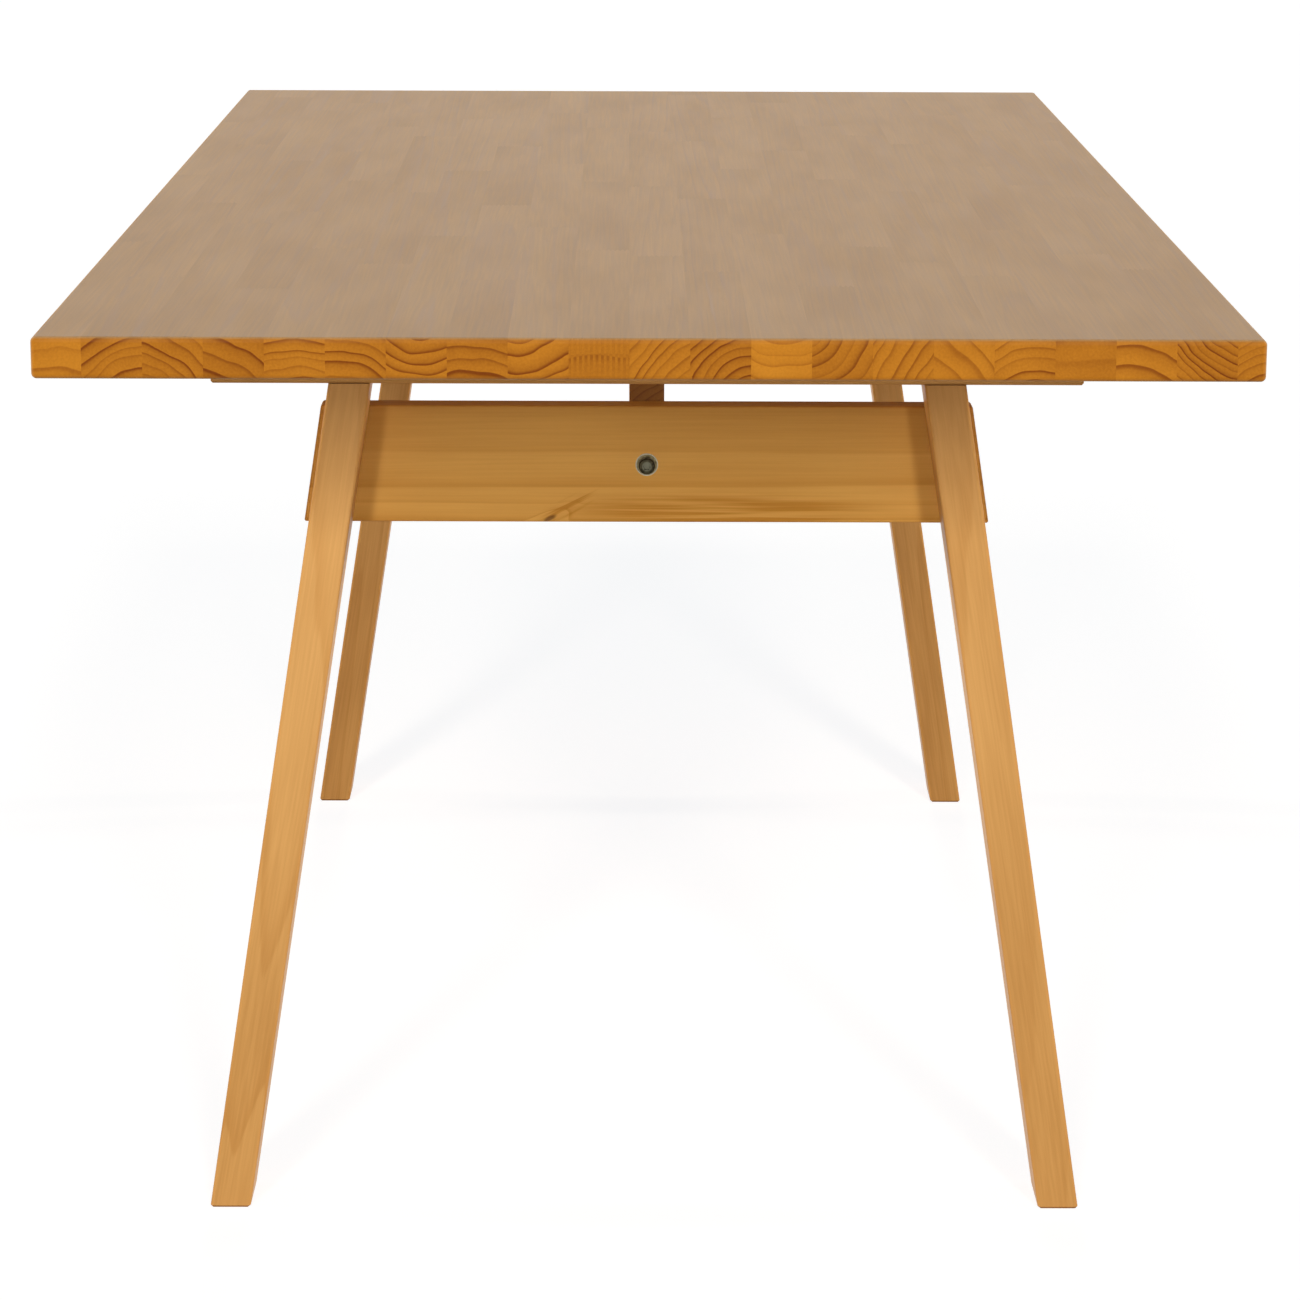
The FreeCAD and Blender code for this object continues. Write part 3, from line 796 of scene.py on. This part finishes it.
class PlatedSteel(Effect):
    """Cloudy plating with fine scratches."""

    # Scratches to a metre, values of the noise between which a cloud darkens, and its roughness
    SCRATCHES = (900.0, 4000.0, 9000.0)
    CLOUD_DARKENS = (0.35, 0.68)
    CLOUD_ROUGH = 0.14

    def __init__(self) -> None:
        """Builds the group."""
        super().__init__(
            "plated_steel",
            {"Vector": ("Place",), "Float": ("Scale", "Seed", "Polish"), "Color": ("Bright", "Dull")},
            {"Color": ("Colour",), "Float": ("Roughness", "Relief")},
        )
        w = self.wiring
        given = self.given
        cloud = w.noise(w.scaled(given["Place"], given["Scale"]), given["Seed"], Detail.FINE)
        scratch = w.vector("MULTIPLY", given["Place"], self.SCRATCHES)
        scratch = w.noise(scratch, given["Seed"], Detail.MEDIUM)
        dark = w.ramp(cloud, self.CLOUD_DARKENS)
        rough = w.maths("MULTIPLY_ADD", cloud, self.CLOUD_ROUGH, given["Polish"])
        w.feed(self.result["Colour"], w.blend(dark, given["Bright"], given["Dull"]))
        w.feed(self.result["Roughness"], rough)
        w.feed(self.result["Relief"], scratch)


@dataclass
class Effects:
    """The node groups that the materials share."""

    rings: GrowthRings = field(default_factory=GrowthRings)
    fingers: FingerJoints = field(default_factory=FingerJoints)
    branch: BranchMark = field(default_factory=BranchMark)
    sides: SawnSides = field(default_factory=SawnSides)
    wood: WoodSurface = field(default_factory=WoodSurface)
    steel: PlatedSteel = field(default_factory=PlatedSteel)


def opaque(colour: Colour) -> tuple[float, float, float, float]:
    """Gives a colour with full cover."""
    return (*colour, 1.0)


def put_on(piece: bpy.types.Object, material: bpy.types.Material) -> None:
    """Gives a piece of the table one material and reports it.

    Args:
        piece: The piece.
        material: Its material.
    """
    slots = piece.data.materials
    slots.clear()
    slots.append(material)
    LOG.info("%s wears %s", piece.name, material.name)


def new_material(name: str) -> tuple[bpy.types.Material, Wiring, bpy.types.Node]:
    """Makes a material.

    Args:
        name: Name of the material.

    Returns:
        The material, the wiring of its tree, and its Principled shader.
    """
    material = bpy.data.materials.new(name)
    material.use_nodes = True
    return material, Wiring(material.node_tree), material.node_tree.nodes["Principled BSDF"]


@dataclass
class Joiner:
    """Dresses pieces of wood, each by its own place in a tree.

    Attributes:
        effects: Shared node groups.
        finger_spacing: Usual length between finger joints in metres.
        heart_scatter: How far the heart moves from one joined length to the next, in metres.
        waver: How far the heart line wanders, in metres.
        ripple: How far the rings stray from true circles, in metres.
        streak_show: Strength of the streaks by a knot, to that of the rings.
        glue_show: Darkness of the glue between fingers.
        painted_foot_shade: Painted shade: tone that darkens the legs at the floor, standing in for less
            light low down.
        painted_shade_height: Height at which that painted shade has faded out, in metres.
        relief_depth: Depth of the grain's relief in metres.
    """

    # How far along the tree the lengths of one stave come from, in metres
    TREE_SCATTER = 3.0

    # Clouds to a metre across and along the grain, and values of the noise from dark to pale
    CLOUDS = (20.0, 20.0, 4.0)
    CLOUD_RANGE = (0.25, 0.75)

    effects: Effects
    finger_spacing: float = 0.47
    heart_scatter: float = 0.11
    waver: float = 14 * MM
    ripple: float = 8 * MM
    streak_show: float = 1.4
    glue_show: float = 0.1
    # Painted shade that darkens the legs towards the floor
    painted_foot_shade: float = 1.1
    painted_shade_height: float = 0.45
    relief_depth: float = 0.4 * MM

    def dress(
        self,
        node: str,
        finish: WoodFinish,
        timber: Timber,
        grain: Grain,
        lean: float = 0.0,
        fingers: bool = False,
        paints_foot_shade: bool = False,
        knot: Knot | None = None,
    ) -> None:
        """Gives one piece its wood.

        Args:
            node: Name of the piece.
            finish: Colours and lacquer.
            timber: Where the piece sat in its tree.
            grain: Way that its fibres run.
            lean: Turn of the piece about the table's long axis in degrees.
            fingers: Whether it is joined from shorter lengths.
            paints_foot_shade: Whether painted shade darkens it towards the floor.
            knot: Branch mark in it, where it has one.
        """
        material, w, shader = new_material(f"{finish.name}.{node}")
        low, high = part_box(node)
        middle = (low + high) / 2
        if grain is Grain.LENGTHWAYS:
            middle.y = low.y
        tilt = Euler((0.0, math.radians(lean), 0.0)).to_matrix()
        across, up = timber.pith
        heart = middle + tilt @ (grain.across * across + grain.up * up) * MM
        slant = Euler([math.radians(angle) for angle in (*timber.slant, 0.0)]).to_matrix()
        place = w.add("ShaderNodeTexCoord").outputs["Object"]
        surface = w.add("ShaderNodeNewGeometry")
        mapping = w.add("ShaderNodeMapping", vector_type="TEXTURE")
        w.feed(mapping.inputs["Vector"], place)
        w.feed(mapping.inputs["Location"], tuple(heart))
        w.feed(mapping.inputs["Rotation"], tuple((tilt @ grain.turn @ slant).to_euler()))
        tree_place = mapping.outputs["Vector"]
        tone: Signal = timber.tone
        mark: Signal = 0.0
        swirl: Signal = 0.0
        streaks: Signal = 0.0
        if fingers:
            joints = self.effects.fingers.place(
                w,
                Place=place,
                First_Joint=low.y + timber.first_joint * MM,
                Spacing=self.finger_spacing,
                Seed=timber.seed,
            )
            scatter = (self.heart_scatter, self.heart_scatter, self.TREE_SCATTER)
            shift = w.vector("MULTIPLY", joints["Shift"], scatter)
            tree_place = w.vector("ADD", tree_place, shift)
            tone = w.maths("ADD", joints["Tone"], timber.tone)
            mark = w.maths("MULTIPLY", joints["Glue"], self.glue_show)
        # Painted shade: the legs darken towards the floor, standing in for the lamps lighting them less
        # low down
        if paints_foot_shade:
            painted_foot_shade = w.ramp(w.axes(place)["Z"], (0.0, self.painted_shade_height), (self.painted_foot_shade, 0.0))
            tone = w.maths("ADD", painted_foot_shade, timber.tone)
        if knot is not None:
            branch = self.effects.branch.place(
                w,
                Place=place,
                Middle=knot.place,
                Size=knot.size,
                Flame_Middle=knot.flame_place,
                Flame_Size=knot.flame_size,
                Seed=timber.seed,
            )
            swirl = branch["Swirl"]
            mark = branch["Eye"]
            streaks = w.maths("MULTIPLY", branch["Streaks"], self.streak_show)
        rings = self.effects.rings.place(
            w,
            Place=tree_place,
            Ring_Width=timber.ring * MM,
            Waver=self.waver,
            Ripple=self.ripple,
            Swirl=swirl,
            Seed=timber.seed,
        )
        latewood = w.maths("MULTIPLY_ADD", rings["Latewood"], timber.bold, streaks)
        sides = self.effects.sides.place(
            w,
            Normal=surface.outputs["Normal"],
            Along=tuple(tilt @ grain.turn @ Vector((0.0, 0.0, 1.0))),
            Across=tuple(tilt @ grain.across),
            Up=tuple(tilt @ grain.up),
            Place=place,
            Seed=timber.seed,
        )
        cloud = w.noise(w.vector("MULTIPLY", tree_place, self.CLOUDS), timber.seed, Detail.MEDIUM)
        wood = self.effects.wood.place(
            w,
            Latewood=latewood,
            Fibre=rings["Fibre"],
            End_Grain=sides["End Grain"],
            Tone=tone,
            Cloud=w.ramp(cloud, self.CLOUD_RANGE, w.BOTH_WAYS),
            Dark_Mark=mark,
            Wear=sides["Wear"],
            Ring_Show=finish.ring_show,
            Fibre_Show=finish.fibre_show,
            Tone_Show=finish.tone_show,
            Lacquer=finish.roughness,
            Face_Early=opaque(finish.face_early),
            Face_Late=opaque(finish.face_late),
            End_Early=opaque(finish.end_early),
            End_Late=opaque(finish.end_late),
        )
        normal = w.relief(wood["Relief"], finish.bump, self.relief_depth)
        w.feed(shader.inputs["Base Color"], wood["Colour"])
        w.feed(shader.inputs["Roughness"], wood["Roughness"])
        w.feed(shader.inputs["Normal"], normal)
        w.feed(shader.inputs["IOR"], finish.ior)
        put_on(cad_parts[node], material)


@dataclass
class Fitter:
    """Dresses the steel fasteners.

    Attributes:
        effects: Shared node groups.
        scratch_show: How far the scratches show, from 0 to 1.
        scratch_depth: Depth of the scratches in metres.
    """

    SQUARE_TO_AXIS = (1.0, 0.0, 1.0)

    effects: Effects
    scratch_show: float = 0.06
    scratch_depth: float = 0.05 * MM

    def dress(self, piece: bpy.types.Object, finish: SteelFinish, seed: float) -> None:
        """Gives one fastener its plating.

        Args:
            piece: The fastener.
            finish: Its plating.
            seed: Number that picks its own marks.
        """
        material, w, shader = new_material(f"{finish.name}.{piece.name}")
        place = w.add("ShaderNodeTexCoord").outputs["Object"]
        steel = self.effects.steel.place(
            w,
            Place=place,
            Scale=finish.scale,
            Seed=seed,
            Bright=opaque(finish.bright),
            Dull=opaque(finish.dull),
            Polish=finish.roughness,
        )
        colour = steel["Colour"]
        # Painted highlight: a paler disc or ring about the fastener's axis
        if finish.bare is not None:
            corners = [Vector(corner) for corner in piece.bound_box]
            middle = sum(corners, Vector()) / len(corners)
            spoke = w.vector("MULTIPLY", w.vector("SUBTRACT", place, middle), self.SQUARE_TO_AXIS)
            start, end = finish.painted_glint
            painted_glint = w.ramp(w.vector("LENGTH", spoke), (start * MM, end * MM))
            colour = w.blend(painted_glint, colour, opaque(finish.bare))
        normal = w.relief(steel["Relief"], self.scratch_show, self.scratch_depth)
        w.feed(shader.inputs["Base Color"], colour)
        w.feed(shader.inputs["Roughness"], steel["Roughness"])
        w.feed(shader.inputs["Normal"], normal)
        w.feed(shader.inputs["Metallic"], 1.0)
        put_on(piece, material)


@dataclass
class ScrewSet:
    """Wood screws of one node, each with a recess for a cross-tipped driver.

    Attributes:
        name: Name of the set.
        node: Node of the plain screws that it stands for.
        head: Kind of screw.
        facing: Way that the heads face.
        recess_reach: Length of a wing of the recess from the axis, in millimetres.
        recess_half: Half the width of a wing in millimetres.
        recess_depth: Depth of the recess in millimetres.
        recess_taper: Size of the recess's floor to its mouth.
        drive_step: Turn of each screw past the one before, in degrees.
    """

    SIDES = 24
    SHARP = math.radians(25.0)
    WELD = 0.01 * MM
    LEVEL_DIGITS = 4

    name: str
    node: str
    head: ScrewHead
    facing: Triple
    recess_reach: float = 2.35
    recess_half: float = 0.63
    recess_depth: float = 2.1
    recess_taper: float = 0.5
    drive_step: float = 37.0

    def seats(self) -> list[Vector]:
        """Finds the middle of each head's face.

        Returns:
            One place for each separate solid of the node, from left to right.
        """
        solids = bmesh.new()
        solids.from_mesh(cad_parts[self.node].data)
        bmesh.ops.remove_doubles(solids, verts=solids.verts, dist=self.WELD)
        facing = Vector(self.facing)
        left = set(solids.verts)
        places = []
        while left:
            reached = [left.pop()]
            for vert in reached:
                beside = {edge.other_vert(vert) for edge in vert.link_edges} & left
                left -= beside
                reached.extend(beside)
            corners = [vert.co for vert in reached]
            low = Vector([min(corner[axis] for corner in corners) for axis in range(3)])
            high = Vector([max(corner[axis] for corner in corners) for axis in range(3)])
            reach = abs((high - low).dot(facing)) / 2
            places.append((low + high) / 2 + facing * reach)
        solids.free()
        return sorted(places, key=lambda place: (round(place.z, self.LEVEL_DIGITS), place.x))

    def cross(
        self, mesh: bmesh.types.BMesh, place: Matrix, size: float, depth: float
    ) -> list[bmesh.types.BMVert]:
        """Adds the twelve corners of the recess at one depth.

        Args:
            mesh: Mesh that they go into.
            place: Place of the screw.
            size: Scale of the cross.
            depth: Depth below the head's face in millimetres.

        Returns:
            The corners in order round the axis.
        """
        far, near = self.recess_reach * size, self.recess_half * size
        corners = []
        for quarter in range(4):
            turn = Matrix.Rotation(quarter * math.pi / 2, 4, "Z")
            for x, y in ((far, near), (near, near), (near, far)):
                corners.append(mesh.verts.new(place @ turn @ (Vector((x, y, -depth)) * MM)))
        return corners

    def add_screw(self, mesh: bmesh.types.BMesh, place: Matrix) -> None:
        """Adds one screw, turned about its axis, with its recess.

        Args:
            mesh: Mesh that it goes into.
            place: Place of the screw, with Z out of its head.
        """
        rings = []
        for radius, depth in self.head.value[:-1]:
            angles = [2 * math.pi * side / self.SIDES for side in range(self.SIDES)]
            corners = [Vector((radius * math.cos(a), radius * math.sin(a), -depth)) * MM for a in angles]
            rings.append([mesh.verts.new(place @ corner) for corner in corners])
        tip = mesh.verts.new(place @ Vector((0.0, 0.0, -self.head.value[-1][1] * MM)))
        mouth = self.cross(mesh, place, 1.0, 0.0)
        floor = self.cross(mesh, place, self.recess_taper, self.recess_depth)
        point = self.recess_depth + self.recess_half
        bottom = mesh.verts.new(place @ Vector((0.0, 0.0, -point * MM)))
        for side in range(self.SIDES):
            after = (side + 1) % self.SIDES
            for upper, lower in zip(rings, rings[1:]):
                mesh.faces.new((upper[after], upper[side], lower[side], lower[after]))
            mesh.faces.new((rings[-1][after], rings[-1][side], tip))
        rim = rings[0]
        share = self.SIDES // len(mouth)
        for corner in range(len(mouth)):
            after = (corner + 1) % len(mouth)
            arc = [rim[(share * corner + step) % self.SIDES] for step in range(1, share + 2)]
            mesh.faces.new((mouth[corner], *arc, mouth[after]))
            mesh.faces.new((mouth[corner], mouth[after], floor[after], floor[corner]))
            mesh.faces.new((floor[corner], floor[after], bottom))

    def build(self) -> bpy.types.Object:
        """Makes the screws where the plain ones sit.

        Returns:
            The set as one object.
        """
        mesh = bmesh.new()
        upright = Vector(self.facing).to_track_quat("Z", "Y").to_matrix().to_4x4()
        for number, seat in enumerate(self.seats()):
            drive = Matrix.Rotation(math.radians(self.drive_step * number), 4, "Z")
            self.add_screw(mesh, Matrix.Translation(seat) @ upright @ drive)
        for face in mesh.faces:
            face.smooth = True
        data = bpy.data.meshes.new(self.name)
        mesh.to_mesh(data)
        mesh.free()
        data.set_sharp_from_angle(angle=self.SHARP)
        screws = bpy.data.objects.new(self.name, data)
        bpy.context.scene.collection.objects.link(screws)
        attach(screws, "root")
        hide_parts(self.node)
        LOG.info("%s stands for %s", self.name, self.node)
        return screws


@dataclass
class TableTop:
    """Edge-glued top of finger-jointed staves.

    Attributes:
        staves: Timber of each stave from left to right.
    """

    staves: tuple[Timber, ...] = STAVES

    def dress(self, joiner: Joiner) -> None:
        """Gives each stave its own wood."""
        for number, timber in enumerate(self.staves, start=1):
            joiner.dress(f"top_stave_{number:02d}", TOP_PINE, timber, Grain.LENGTHWAYS, fingers=True)


@dataclass
class Trestle:
    """Two leaning legs, their batten and their cross board, with the fasteners that join them.

    Attributes:
        end: End of the table that it stands at.
        left_leg: Timber of the left leg.
        right_leg: Timber of the right leg.
        batten: Timber of the batten.
        board: Timber of the cross board.
        knot: Branch mark in the cross board.
        lean: Lean of the legs in degrees.
    """

    LEG_DOWEL = Timber((80, 40), 2.0, seed=31.0)
    RAIL_DOWEL = Timber((60, 50), 2.0, seed=32.0)
    BOLT_SEED = 41.0
    WASHER_SEED = 42.0
    NUT_SEED = 43.0
    SCREW_SEED = 44.0
    DOWN = (0.0, 0.0, -1.0)

    end: TableEnd
    left_leg: Timber
    right_leg: Timber
    batten: Timber
    board: Timber
    knot: Knot
    lean: float = 8.81

    def build(self) -> list[bpy.types.Object]:
        """Makes the screws in the cross board and in the batten.

        Returns:
            The two sets of screws.
        """
        end = self.end.label
        inwards = self.end.inwards
        sets = (
            ScrewSet(f"countersunk_screws_{end}", f"board_screws_{end}", ScrewHead.COUNTERSUNK, inwards),
            ScrewSet(f"pan_head_screws_{end}", f"top_screws_{end}", ScrewHead.PAN, self.DOWN),
        )
        return [screws.build() for screws in sets]

    def dress(self, joiner: Joiner, fitter: Fitter) -> None:
        """Gives the wood and the fasteners their finishes.

        Args:
            joiner: Dresses the wood.
            fitter: Dresses the steel.
        """
        end = self.end.label
        legs = (("left", self.left_leg, self.lean), ("right", self.right_leg, -self.lean))
        for side, timber, lean in legs:
            joiner.dress(f"leg_{end}_{side}", TRESTLE_PINE, timber, Grain.UPRIGHT, lean=lean, paints_foot_shade=True)
        joiner.dress(f"batten_{end}", TRESTLE_PINE, self.batten, Grain.CROSSWAYS)
        joiner.dress(f"cross_board_{end}", BOARD_PINE, self.board, Grain.CROSSWAYS, knot=self.knot)
        joiner.dress(f"leg_dowels_{end}", DOWEL_BEECH, self.LEG_DOWEL, Grain.UPRIGHT)
        joiner.dress(f"rail_dowels_{end}", DOWEL_BEECH, self.RAIL_DOWEL, Grain.LENGTHWAYS)
        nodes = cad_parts
        fitter.dress(nodes[f"rail_bolt_{end}"], BOLT_STEEL, self.BOLT_SEED)
        fitter.dress(nodes[f"rail_washer_{end}"], WASHER_STEEL, self.WASHER_SEED)
        fitter.dress(nodes[f"barrel_nut_{end}"], SCREW_STEEL, self.NUT_SEED)
        for number, screws in enumerate(self.build()):
            fitter.dress(screws, SCREW_STEEL, self.SCREW_SEED + number)


@dataclass
class CentreRail:
    """Rail on edge between the two cross boards.

    Attributes:
        timber: Its timber.
    """

    # The rail's dark tone is painted shade, darkening it like the deep shade under the top
    timber: Timber = Timber((60, -50), 5.0, 0.9, 0.8, seed=51.0)

    def dress(self, joiner: Joiner) -> None:
        """Gives the rail its wood."""
        joiner.dress("centre_rail", TRESTLE_PINE, self.timber, Grain.LENGTHWAYS)


@dataclass(frozen=True)
class FarStrip:
    """Tall narrow light far away, made of soft suns one above the other.

    Attributes:
        name: Name of the light.
        azimuth: Where it stands, in degrees from the front end's side round to the right.
        lowest: Height of its foot above the horizon in degrees.
        highest: Height of its head above the horizon in degrees.
        suns: How many suns it has.
        strength: Light of all its suns together, in watts to a square metre.
        lift: How much more its head gives than its foot, from 0, even, to 1, nothing at the foot.
        shines: Whether it shows as a highlight, and not only as light.
    """

    DISTANCE = 6.0

    name: str
    azimuth: float
    lowest: float
    highest: float
    suns: int
    strength: float
    lift: float = 0.0
    shines: bool = True

    def build(self) -> None:
        """Puts the suns into the scene."""
        width = (self.highest - self.lowest) / self.suns
        azimuth = math.radians(self.azimuth)
        for number in range(self.suns):
            height = math.radians(self.lowest + width * (number + 0.5))
            data = bpy.data.lights.new(f"{self.name}_{number + 1}", "SUN")
            share = (2 * number + 1) / self.suns - 1
            data.energy = self.strength / self.suns * (1 + self.lift * share)
            data.angle = math.radians(width)
            lamp = bpy.data.objects.new(data.name, data)
            outwards = Vector((
                math.sin(azimuth) * math.cos(height),
                -math.cos(azimuth) * math.cos(height),
                math.sin(height),
            ))
            lamp.rotation_euler = outwards.to_track_quat("Z", "Y").to_euler()
            lamp.location = outwards * self.DISTANCE
            lamp.visible_glossy = self.shines
            bpy.context.scene.collection.objects.link(lamp)
        LOG.info("%s stands %s degrees round, with %s suns", self.name, self.azimuth, self.suns)


@dataclass
class Studio:
    """Pale floor, soft lamps and an even surround.

    Attributes:
        floor_reach: Half the floor's side in metres.
        floor_colour: Colour of the floor.
        floor_roughness: Roughness of the floor.
        floor_glow: How much of the floor's white is its own, for the camera and reflections.
        glow_colour: Colour of that share.
        surround: Strength of the surround as light on the table.
        lamps: The lamps.
    """

    WHITE = (1.0, 1.0, 1.0)

    floor_reach: float = 60.0
    floor_colour: Colour = (0.44, 0.385, 0.315)
    floor_roughness: float = 0.9
    floor_glow: float = 0.865
    glow_colour: Colour = (0.94, 0.967, 1.0)
    surround: float = 0.05
    lamps: tuple[FarStrip, ...] = (
        FarStrip("strip_left", -13.0, 0.0, 36.0, 6, 1.43, lift=0.3),
        FarStrip("strip_right", 13.0, 0.0, 36.0, 6, 1.43, lift=0.3),
        FarStrip("side_left", -98.0, 0.0, 10.0, 2, 1.5, shines=False),
        FarStrip("side_right", 98.0, 0.0, 10.0, 2, 1.5, shines=False),
        FarStrip("rear", 180.0, 0.0, 10.0, 2, 2.0, shines=False),
    )

    def seen_by(self, wiring: Wiring) -> Socket:
        """Tells what is looked at from what only lights the table.

        Args:
            wiring: Wiring of the floor or of the surround.

        Returns:
            Socket with 1 for rays of the camera, of reflections and through glass, and 0 for light.
        """
        rays = wiring.add("ShaderNodeLightPath").outputs
        seen = wiring.maths("MAXIMUM", rays["Is Camera Ray"], rays["Is Glossy Ray"])
        return wiring.maths("MAXIMUM", seen, rays["Is Transmission Ray"])

    def build_floor(self) -> None:
        """Lays the floor, which keeps the table's shadow and is clear from underneath."""
        reach = self.floor_reach
        mesh = bpy.data.meshes.new("studio_floor")
        corners = [(x * reach, y * reach, 0.0) for x, y in ((-1, -1), (1, -1), (1, 1), (-1, 1))]
        mesh.from_pydata(corners, [], [range(len(corners))])
        floor = bpy.data.objects.new("studio_floor", mesh)
        bpy.context.scene.collection.objects.link(floor)
        material, w, shader = new_material("studio_floor")
        w.feed(shader.inputs["Base Color"], opaque(self.floor_colour))
        w.feed(shader.inputs["Roughness"], self.floor_roughness)
        w.feed(shader.inputs["Specular IOR Level"], 0.0)
        w.feed(shader.inputs["Emission Color"], opaque(self.glow_colour))
        glow = w.maths("MULTIPLY", self.seen_by(w), self.floor_glow)
        w.feed(shader.inputs["Emission Strength"], glow)
        underneath = w.add("ShaderNodeNewGeometry").outputs["Backfacing"]
        hidden = w.add("ShaderNodeMixShader")
        w.feed(hidden.inputs[0], underneath)
        w.feed(hidden.inputs[1], shader.outputs["BSDF"])
        w.feed(hidden.inputs[2], w.add("ShaderNodeBsdfTransparent").outputs["BSDF"])
        w.feed(w.tree.nodes["Material Output"].inputs["Surface"], hidden.outputs[0])
        mesh.materials.append(material)

    def build_surround(self) -> None:
        """Makes the surround: white to look at, dimmer as light."""
        world = bpy.data.worlds.new("studio_surround")
        world.use_nodes = True
        bpy.context.scene.world = world
        w = Wiring(world.node_tree)
        sky = world.node_tree.nodes["Background"]
        w.feed(sky.inputs["Color"], opaque(self.WHITE))
        strength = w.maths("MULTIPLY_ADD", self.seen_by(w), 1.0 - self.surround, self.surround)
        w.feed(sky.inputs["Strength"], strength)

    def build(self) -> None:
        """Builds floor, surround and lamps."""
        self.build_floor()
        self.build_surround()
        for lamp in self.lamps:
            lamp.build()


@dataclass
class PhotoCamera:
    """Camera at the photograph's viewpoint, end-on to the table from above.

    Attributes:
        place: Where it stands, in metres.
        pitch: Turn downwards in radians.
        yaw: Turn to the right in radians.
        roll: Turn about its own axis in radians.
        focal: Focal length in picture pixels.
    """

    place: Triple = (-0.0168, -3.9297, 1.2413)
    pitch: float = 0.2313
    yaw: float = 0.0060
    roll: float = -0.0039
    focal: float = 4211.6

    def build(self) -> None:
        """Puts the camera into the scene."""
        forward = Vector((
            math.sin(self.yaw) * math.cos(self.pitch),
            math.cos(self.yaw) * math.cos(self.pitch),
            -math.sin(self.pitch),
        ))
        level = forward.cross(Vector((0.0, 0.0, 1.0))).normalized()
        upright = level.cross(forward)
        right = level * math.cos(self.roll) - upright * math.sin(self.roll)
        up = right.cross(forward)
        data = bpy.data.cameras.new("photo_camera")
        data.sensor_fit = "HORIZONTAL"
        data.sensor_width = SENSOR_WIDTH
        data.lens = self.focal / PICTURE_WIDTH * SENSOR_WIDTH
        camera = bpy.data.objects.new("photo_camera", data)
        turn = Matrix((right, up, -forward)).transposed()
        camera.matrix_world = Matrix.Translation(self.place) @ turn.to_4x4()
        bpy.context.scene.collection.objects.link(camera)
        bpy.context.scene.camera = camera
        LOG.info("camera stands at %s", self.place)


def main() -> None:
    """Dresses the table and sets the stage."""
    logging.basicConfig(level=logging.INFO, format="%(message)s")
    bpy.context.scene.view_settings.view_transform = "Standard"
    effects = Effects()
    joiner = Joiner(effects)
    fitter = Fitter(effects)
    TableTop().dress(joiner)
    Trestle(
        TableEnd.FRONT,
        left_leg=Timber((9, 58), 5.5, 0.0, 0.9, (1.5, 0.5), 61.0),
        right_leg=Timber((-14, 64), 6.0, 0.25, 0.9, (1.2, -0.5), 62.0),
        batten=Timber((40, 60), 5.0, 0.0, 0.8, (0.3, 0.5), 63.0),
        # The board's tone is partly painted shade: it darkens the board and lowers its blue as the top's
        # shade does
        board=Timber((60, 30), 10.0, 0.4, 0.85, (0.15, -0.2), 64.0),
        knot=Knot(
            place=(-0.078, -0.603, 0.5665),
            size=(0.0078, 0.03, 0.0026),
            flame_place=(0.062, -0.603, 0.5735),
            flame_size=(0.155, 0.06, 0.018),
        ),
    ).dress(joiner, fitter)
    Trestle(
        TableEnd.REAR,
        # The rear legs' dark tones are painted shade, darkening them like the top's shade over them
        left_leg=Timber((-18, 60), 5.5, 1.1, 0.9, (-1.3, 0.4), 71.0),
        right_leg=Timber((12, -56), 5.5, 0.75, 0.9, (1.4, -0.4), 72.0),
        batten=Timber((-45, 55), 5.5, 0.1, 0.8, (0.4, -0.4), 73.0),
        board=Timber((-70, -34), 10.0, 0.0, 0.85, (0.2, 0.3), 74.0),
        knot=Knot(
            place=(0.11, 0.603, 0.640),
            size=(0.0075, 0.03, 0.0032),
            flame_place=(0.03, 0.603, 0.634),
            flame_size=(0.10, 0.06, 0.013),
        ),
    ).dress(joiner, fitter)
    CentreRail().dress(joiner)
    Studio().build()
    PhotoCamera().build()


if __name__ == "__main__":
    main()
